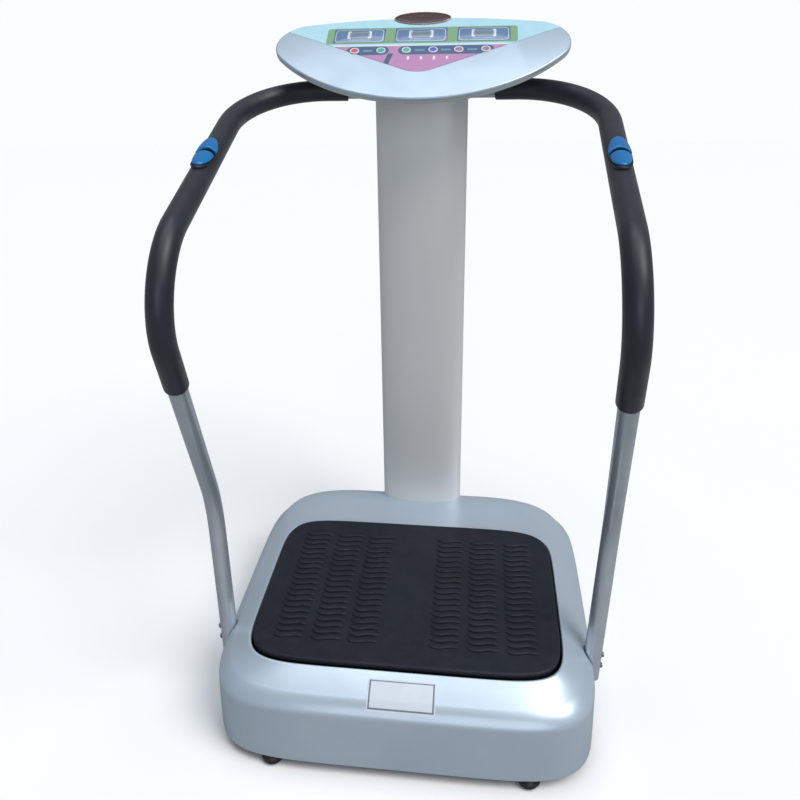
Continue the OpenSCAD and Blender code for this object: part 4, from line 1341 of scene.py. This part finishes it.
@dataclass
class Handrail:
    """One bent rail with its foam grip and thumb switch.

    Attributes:
        side: Left or right.
        path: Centre line.
        tube: Outer radius of the tube, in millimetres.
        foam: Outer radius of the foam.
        wall: Thickness of the tube.
        grip_start: Where the foam starts, as a share of the second stretch.
        grip_end: Where it ends, as a share of the fourth.
        pod_share: Where the switch sits, as a share of the third.
        dish_half: Half width and half length of the switch's dish.
        roll: How far the switch is turned inwards from straight up, in degrees.
    """

    side: Side
    path: RailPath = field(default_factory=RailPath)
    tube: float = 16
    foam: float = 20
    wall: float = 1.8
    grip_start: float = 0.617
    grip_end: float = 0.70
    pod_share: float = 0.518
    dish_half: tuple[float, float] = (17, 54)
    roll: float = 2

    @property
    def word(self) -> str:
        """The side as a word in lower case."""
        return self.side.name.lower()

    def rail(self) -> None:
        """Draw the steel tube."""
        points = [self.path.corner(i, self.side) for i in range(5)]
        stations = self.path.stations(points, self.path.bends)
        outer = self.path.rings(stations, [self.tube] * len(stations), 40)
        inner = self.path.rings(stations, [self.tube - self.wall] * len(stations), 40)
        tube = loft(f"rail_tube_{self.word}", outer + inner[::-1], loop=True)
        dress(tube, "base", "rail_silver", RAIL, f"rail_{self.word}")

    def grip(self) -> None:
        """Slip the foam sleeve over the tube."""
        points = [self.path.part(1, self.grip_start, self.side), self.path.corner(2, self.side),
                  self.path.corner(3, self.side), self.path.part(3, self.grip_end, self.side)]
        stations = self.path.stations(points, self.path.bends[1:])
        (first, way), (last, out) = stations[0], stations[-1]
        ends = ((0.0, 17.6), (0.0, 19.0), (0.5, 19.6), (1.4, 19.95), (3.0, 20.0))
        outer = [(first + way * d, way) for d, _ in ends] + stations[1:-1]
        outer += [(last - out * d, out) for d, _ in ends[::-1]]
        radii = [r for _, r in ends] + [self.foam] * (len(stations) - 2) + [r for _, r in ends[::-1]]
        rings = self.path.rings(outer, radii, 44)
        bore = self.path.rings(stations, [self.tube + 0.15] * len(stations), 44)
        grip = loft(f"grip_foam_{self.word}", rings + bore[::-1], loop=True)
        dress(grip, "base", "foam", FOAM, f"grip_{self.word}", angle=60)

    def pod_point(self, across: float, along: float, radius: float) -> Vector:
        """A point on a cylinder round the grip, measured from the switch's middle.

        Args:
            across: Way round the grip.
            along: Way along the grip.
            radius: Distance from its centre line.

        Returns:
            The point.
        """
        start, end = self.path.corner(2, self.side), self.path.corner(3, self.side)
        way = (end - start).normalized()
        up = (Vector((0, 0, 1)) - way * way.z).normalized()
        aside = way.cross(up) * self.side.value
        roll = math.radians(self.roll)
        out = up * math.cos(roll) - aside * math.sin(roll)
        over = way.cross(out)
        angle = across / self.foam
        return start.lerp(end, self.pod_share) + way * along + (out * math.cos(angle) + over * math.sin(angle)) * radius

    def button_outline(self, end: End) -> list[tuple[float, float]]:
        """Outline of one button: a pointed dome above, a half oval below.

        Args:
            end: Upper or lower button.

        Returns:
            Points across and along the grip.
        """
        points = []
        half, low, arch, reach = (15.6, 3.5, 7.0, 44.0) if end is End.UP else (14.2, -6.0, 6.5, 41.0)
        for i in range(41):
            t = math.pi * i / 40
            swell = math.sin(t) ** (0.8 if end is End.UP else 0.95)
            u = half * math.cos(t) * (1.0 if end is End.DOWN else 1 - 0.1 * math.sin(2 * t) ** 2)
            points.append((u if end is End.UP else -u, low + end.value * reach * swell))
        way = 1 if end is End.UP else -1
        for k in range(1, 24):
            u = way * half * (-1 + 2 * k / 24)
            points.append((u, low + arch * (1 - (u / half) ** 2)))
        return points

    def switch(self) -> None:
        """Set the switch's dish and its two glossy buttons on the grip."""
        rows = [(1.0, 0.2), (1.0, 3.4), (0.985, 4.2), (0.95, 4.4), (0.92, 4.2), (0.9, 3.4), (0.89, 1.0), (0.6, 1.0),
                (0.3, 1.0)]
        oval = squircle(*self.dish_half, 2.3, 72)
        rings = [[self.pod_point(u * s, v * s, self.foam + h) for u, v in oval] for s, h in rows]
        dress(loft(f"switch_dish_{self.word}", rings), "base", "plastic_black", BLACK_PLASTIC, f"pod_{self.word}",
              angle=50)
        rows = [(0.3, 2.9), (0.6, 2.9), (0.85, 2.9), (1.0, 2.9), (1.0, 4.9), (0.97, 5.9), (0.9, 6.5), (0.78, 6.8),
                (0.55, 7.0), (0.25, 7.0)]
        for end in End:
            outline = self.button_outline(end)
            mid = sum(v for _, v in outline) / len(outline)
            rings = [[self.pod_point(u * s, mid + (v - mid) * s, self.foam + h) for u, v in outline] for s, h in rows]
            name = f"thumb_{self.word}_{end.name.lower()}"
            dress(loft(f"button_{self.word}_{end.name.lower()}", rings), name + "_body", "thumb_blue", THUMB_BLUE,
                  name, angle=60)

    def build(self) -> None:
        """Build the rail, the grip and the switch."""
        self.rail()
        self.grip()
        self.switch()


# ---------------------------------------------------------------- studio


@dataclass
class Studio:
    """Pale floor, soft lights and the camera.

    Attributes:
        eye: Place of the camera, in metres.
        yaw: Turn of the view from straight ahead, in degrees.
        pitch: How far the view looks down.
        roll: Tilt of the horizon.
        focal: Focal length in frame widths.
        offset: How far the picture's middle is moved, in frame widths.
    """

    eye: tuple[float, float, float] = (0.1141, -1.2637, 1.2570)
    yaw: float = -7.372
    pitch: float = 21.959
    roll: float = -1.236
    focal: float = 756.8 / 800
    offset: tuple[float, float] = (16.7 / 800, -76.3 / 800)

    def camera(self) -> None:
        """Set up the camera."""
        yaw, pitch, roll = (math.radians(v) for v in (self.yaw, self.pitch, self.roll))
        ahead = Vector((math.sin(yaw) * math.cos(pitch), math.cos(yaw) * math.cos(pitch), -math.sin(pitch)))
        right = ahead.cross(Vector((0, 0, 1))).normalized()
        up = right.cross(ahead)
        right, up = right * math.cos(roll) + up * math.sin(roll), up * math.cos(roll) - right * math.sin(roll)
        deselect()
        bpy.ops.object.camera_add()
        camera = bpy.context.object
        camera.matrix_world = Matrix.Translation(self.eye) @ Matrix((right, up, -ahead)).transposed().to_4x4()
        camera.data.sensor_width = 36
        camera.data.lens = 36 * self.focal
        camera.data.shift_x, camera.data.shift_y = self.offset
        camera.data.clip_end = 50
        bpy.context.scene.camera = camera

    def light(self, place: Sequence[float], spread: float, power: float, tint: tuple[float, float, float]) -> None:
        """Hang one wide soft light.

        Args:
            place: Direction that it shines from.
            spread: How wide it is, in degrees.
            power: Its strength.
            tint: Its colour.
        """
        bpy.ops.object.light_add(type="SUN", location=[4 * c for c in place])
        lamp = bpy.context.object
        lamp.rotation_euler = Vector(place).to_track_quat("Z", "Y").to_euler()
        lamp.data.angle, lamp.data.energy, lamp.data.color = math.radians(spread), power, tint

    def floor_paint(self) -> bpy.types.Material:
        """Pale floor that throws only a little light back up."""
        made = Finish("studio_floor", paint(248, 248, 249), paint(247, 247, 248), 0.0, 0.8, 0.05, 60, 0.0, 1,
                      specular=0.1).material()
        w = Weaver(made.node_tree)
        nodes = made.node_tree.nodes
        dim = w.add("ShaderNodeBsdfDiffuse", (0.33, 0.34, 0.35, 1))
        both = w.add("ShaderNodeMixShader", w.add("ShaderNodeLightPath").outputs["Is Camera Ray"], dim.outputs[0],
                     nodes["Principled BSDF"].outputs[0])
        w.feed(nodes["Material Output"].inputs[0], both.outputs[0])
        return made

    def build(self) -> None:
        """Lay the floor, light the room and set the camera."""
        deselect()
        bpy.ops.mesh.primitive_plane_add(size=14)
        floor = bpy.context.object
        floor.name = "studio_floor"
        floor.data.materials.append(self.floor_paint())
        world = bpy.data.worlds.new("studio_air")
        world.use_nodes = True
        w = Weaver(world.node_tree)
        light = world.node_tree.nodes["Background"]
        light.inputs[0].default_value, light.inputs[1].default_value = (0.86, 0.93, 1.0, 1), 0.3
        pale = w.add("ShaderNodeBackground", (0.965, 0.985, 0.995, 1), 1.0)
        both = w.add("ShaderNodeMixShader", w.add("ShaderNodeLightPath").outputs["Is Camera Ray"], light.outputs[0],
                     pale.outputs[0])
        w.feed(world.node_tree.nodes["World Output"].inputs[0], both.outputs[0])
        bpy.context.scene.world = world
        bpy.context.scene.view_settings.view_transform = "Standard"
        self.light((0.55, -0.25, 0.8), 34, 1.85, (1.0, 0.99, 0.97))
        self.light((-0.05, 0, 1), 45, 0.95, (0.92, 0.96, 1.0))
        self.light((0.15, -0.95, 0.25), 40, 0.5, (0.94, 0.97, 1.0))
        self.camera()


def dress_kept_nodes() -> None:
    """Give the CAD pieces that stay their materials."""
    for name, finish in KEPT.items():
        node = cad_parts[name]
        made = finish.material()
        for slot in node.material_slots:
            slot.material = made


def main() -> None:
    """Build the machine and the studio."""
    logging.basicConfig(level=logging.INFO, format="%(message)s")
    Studio().build()
    dress_kept_nodes()
    BaseShell().build(SHELL)
    FootPlate().build(MAT)
    Column().build(COLUMN)
    Console().build()
    for side in Side:
        Handrail(side).build()


if __name__ == "__main__":
    main()
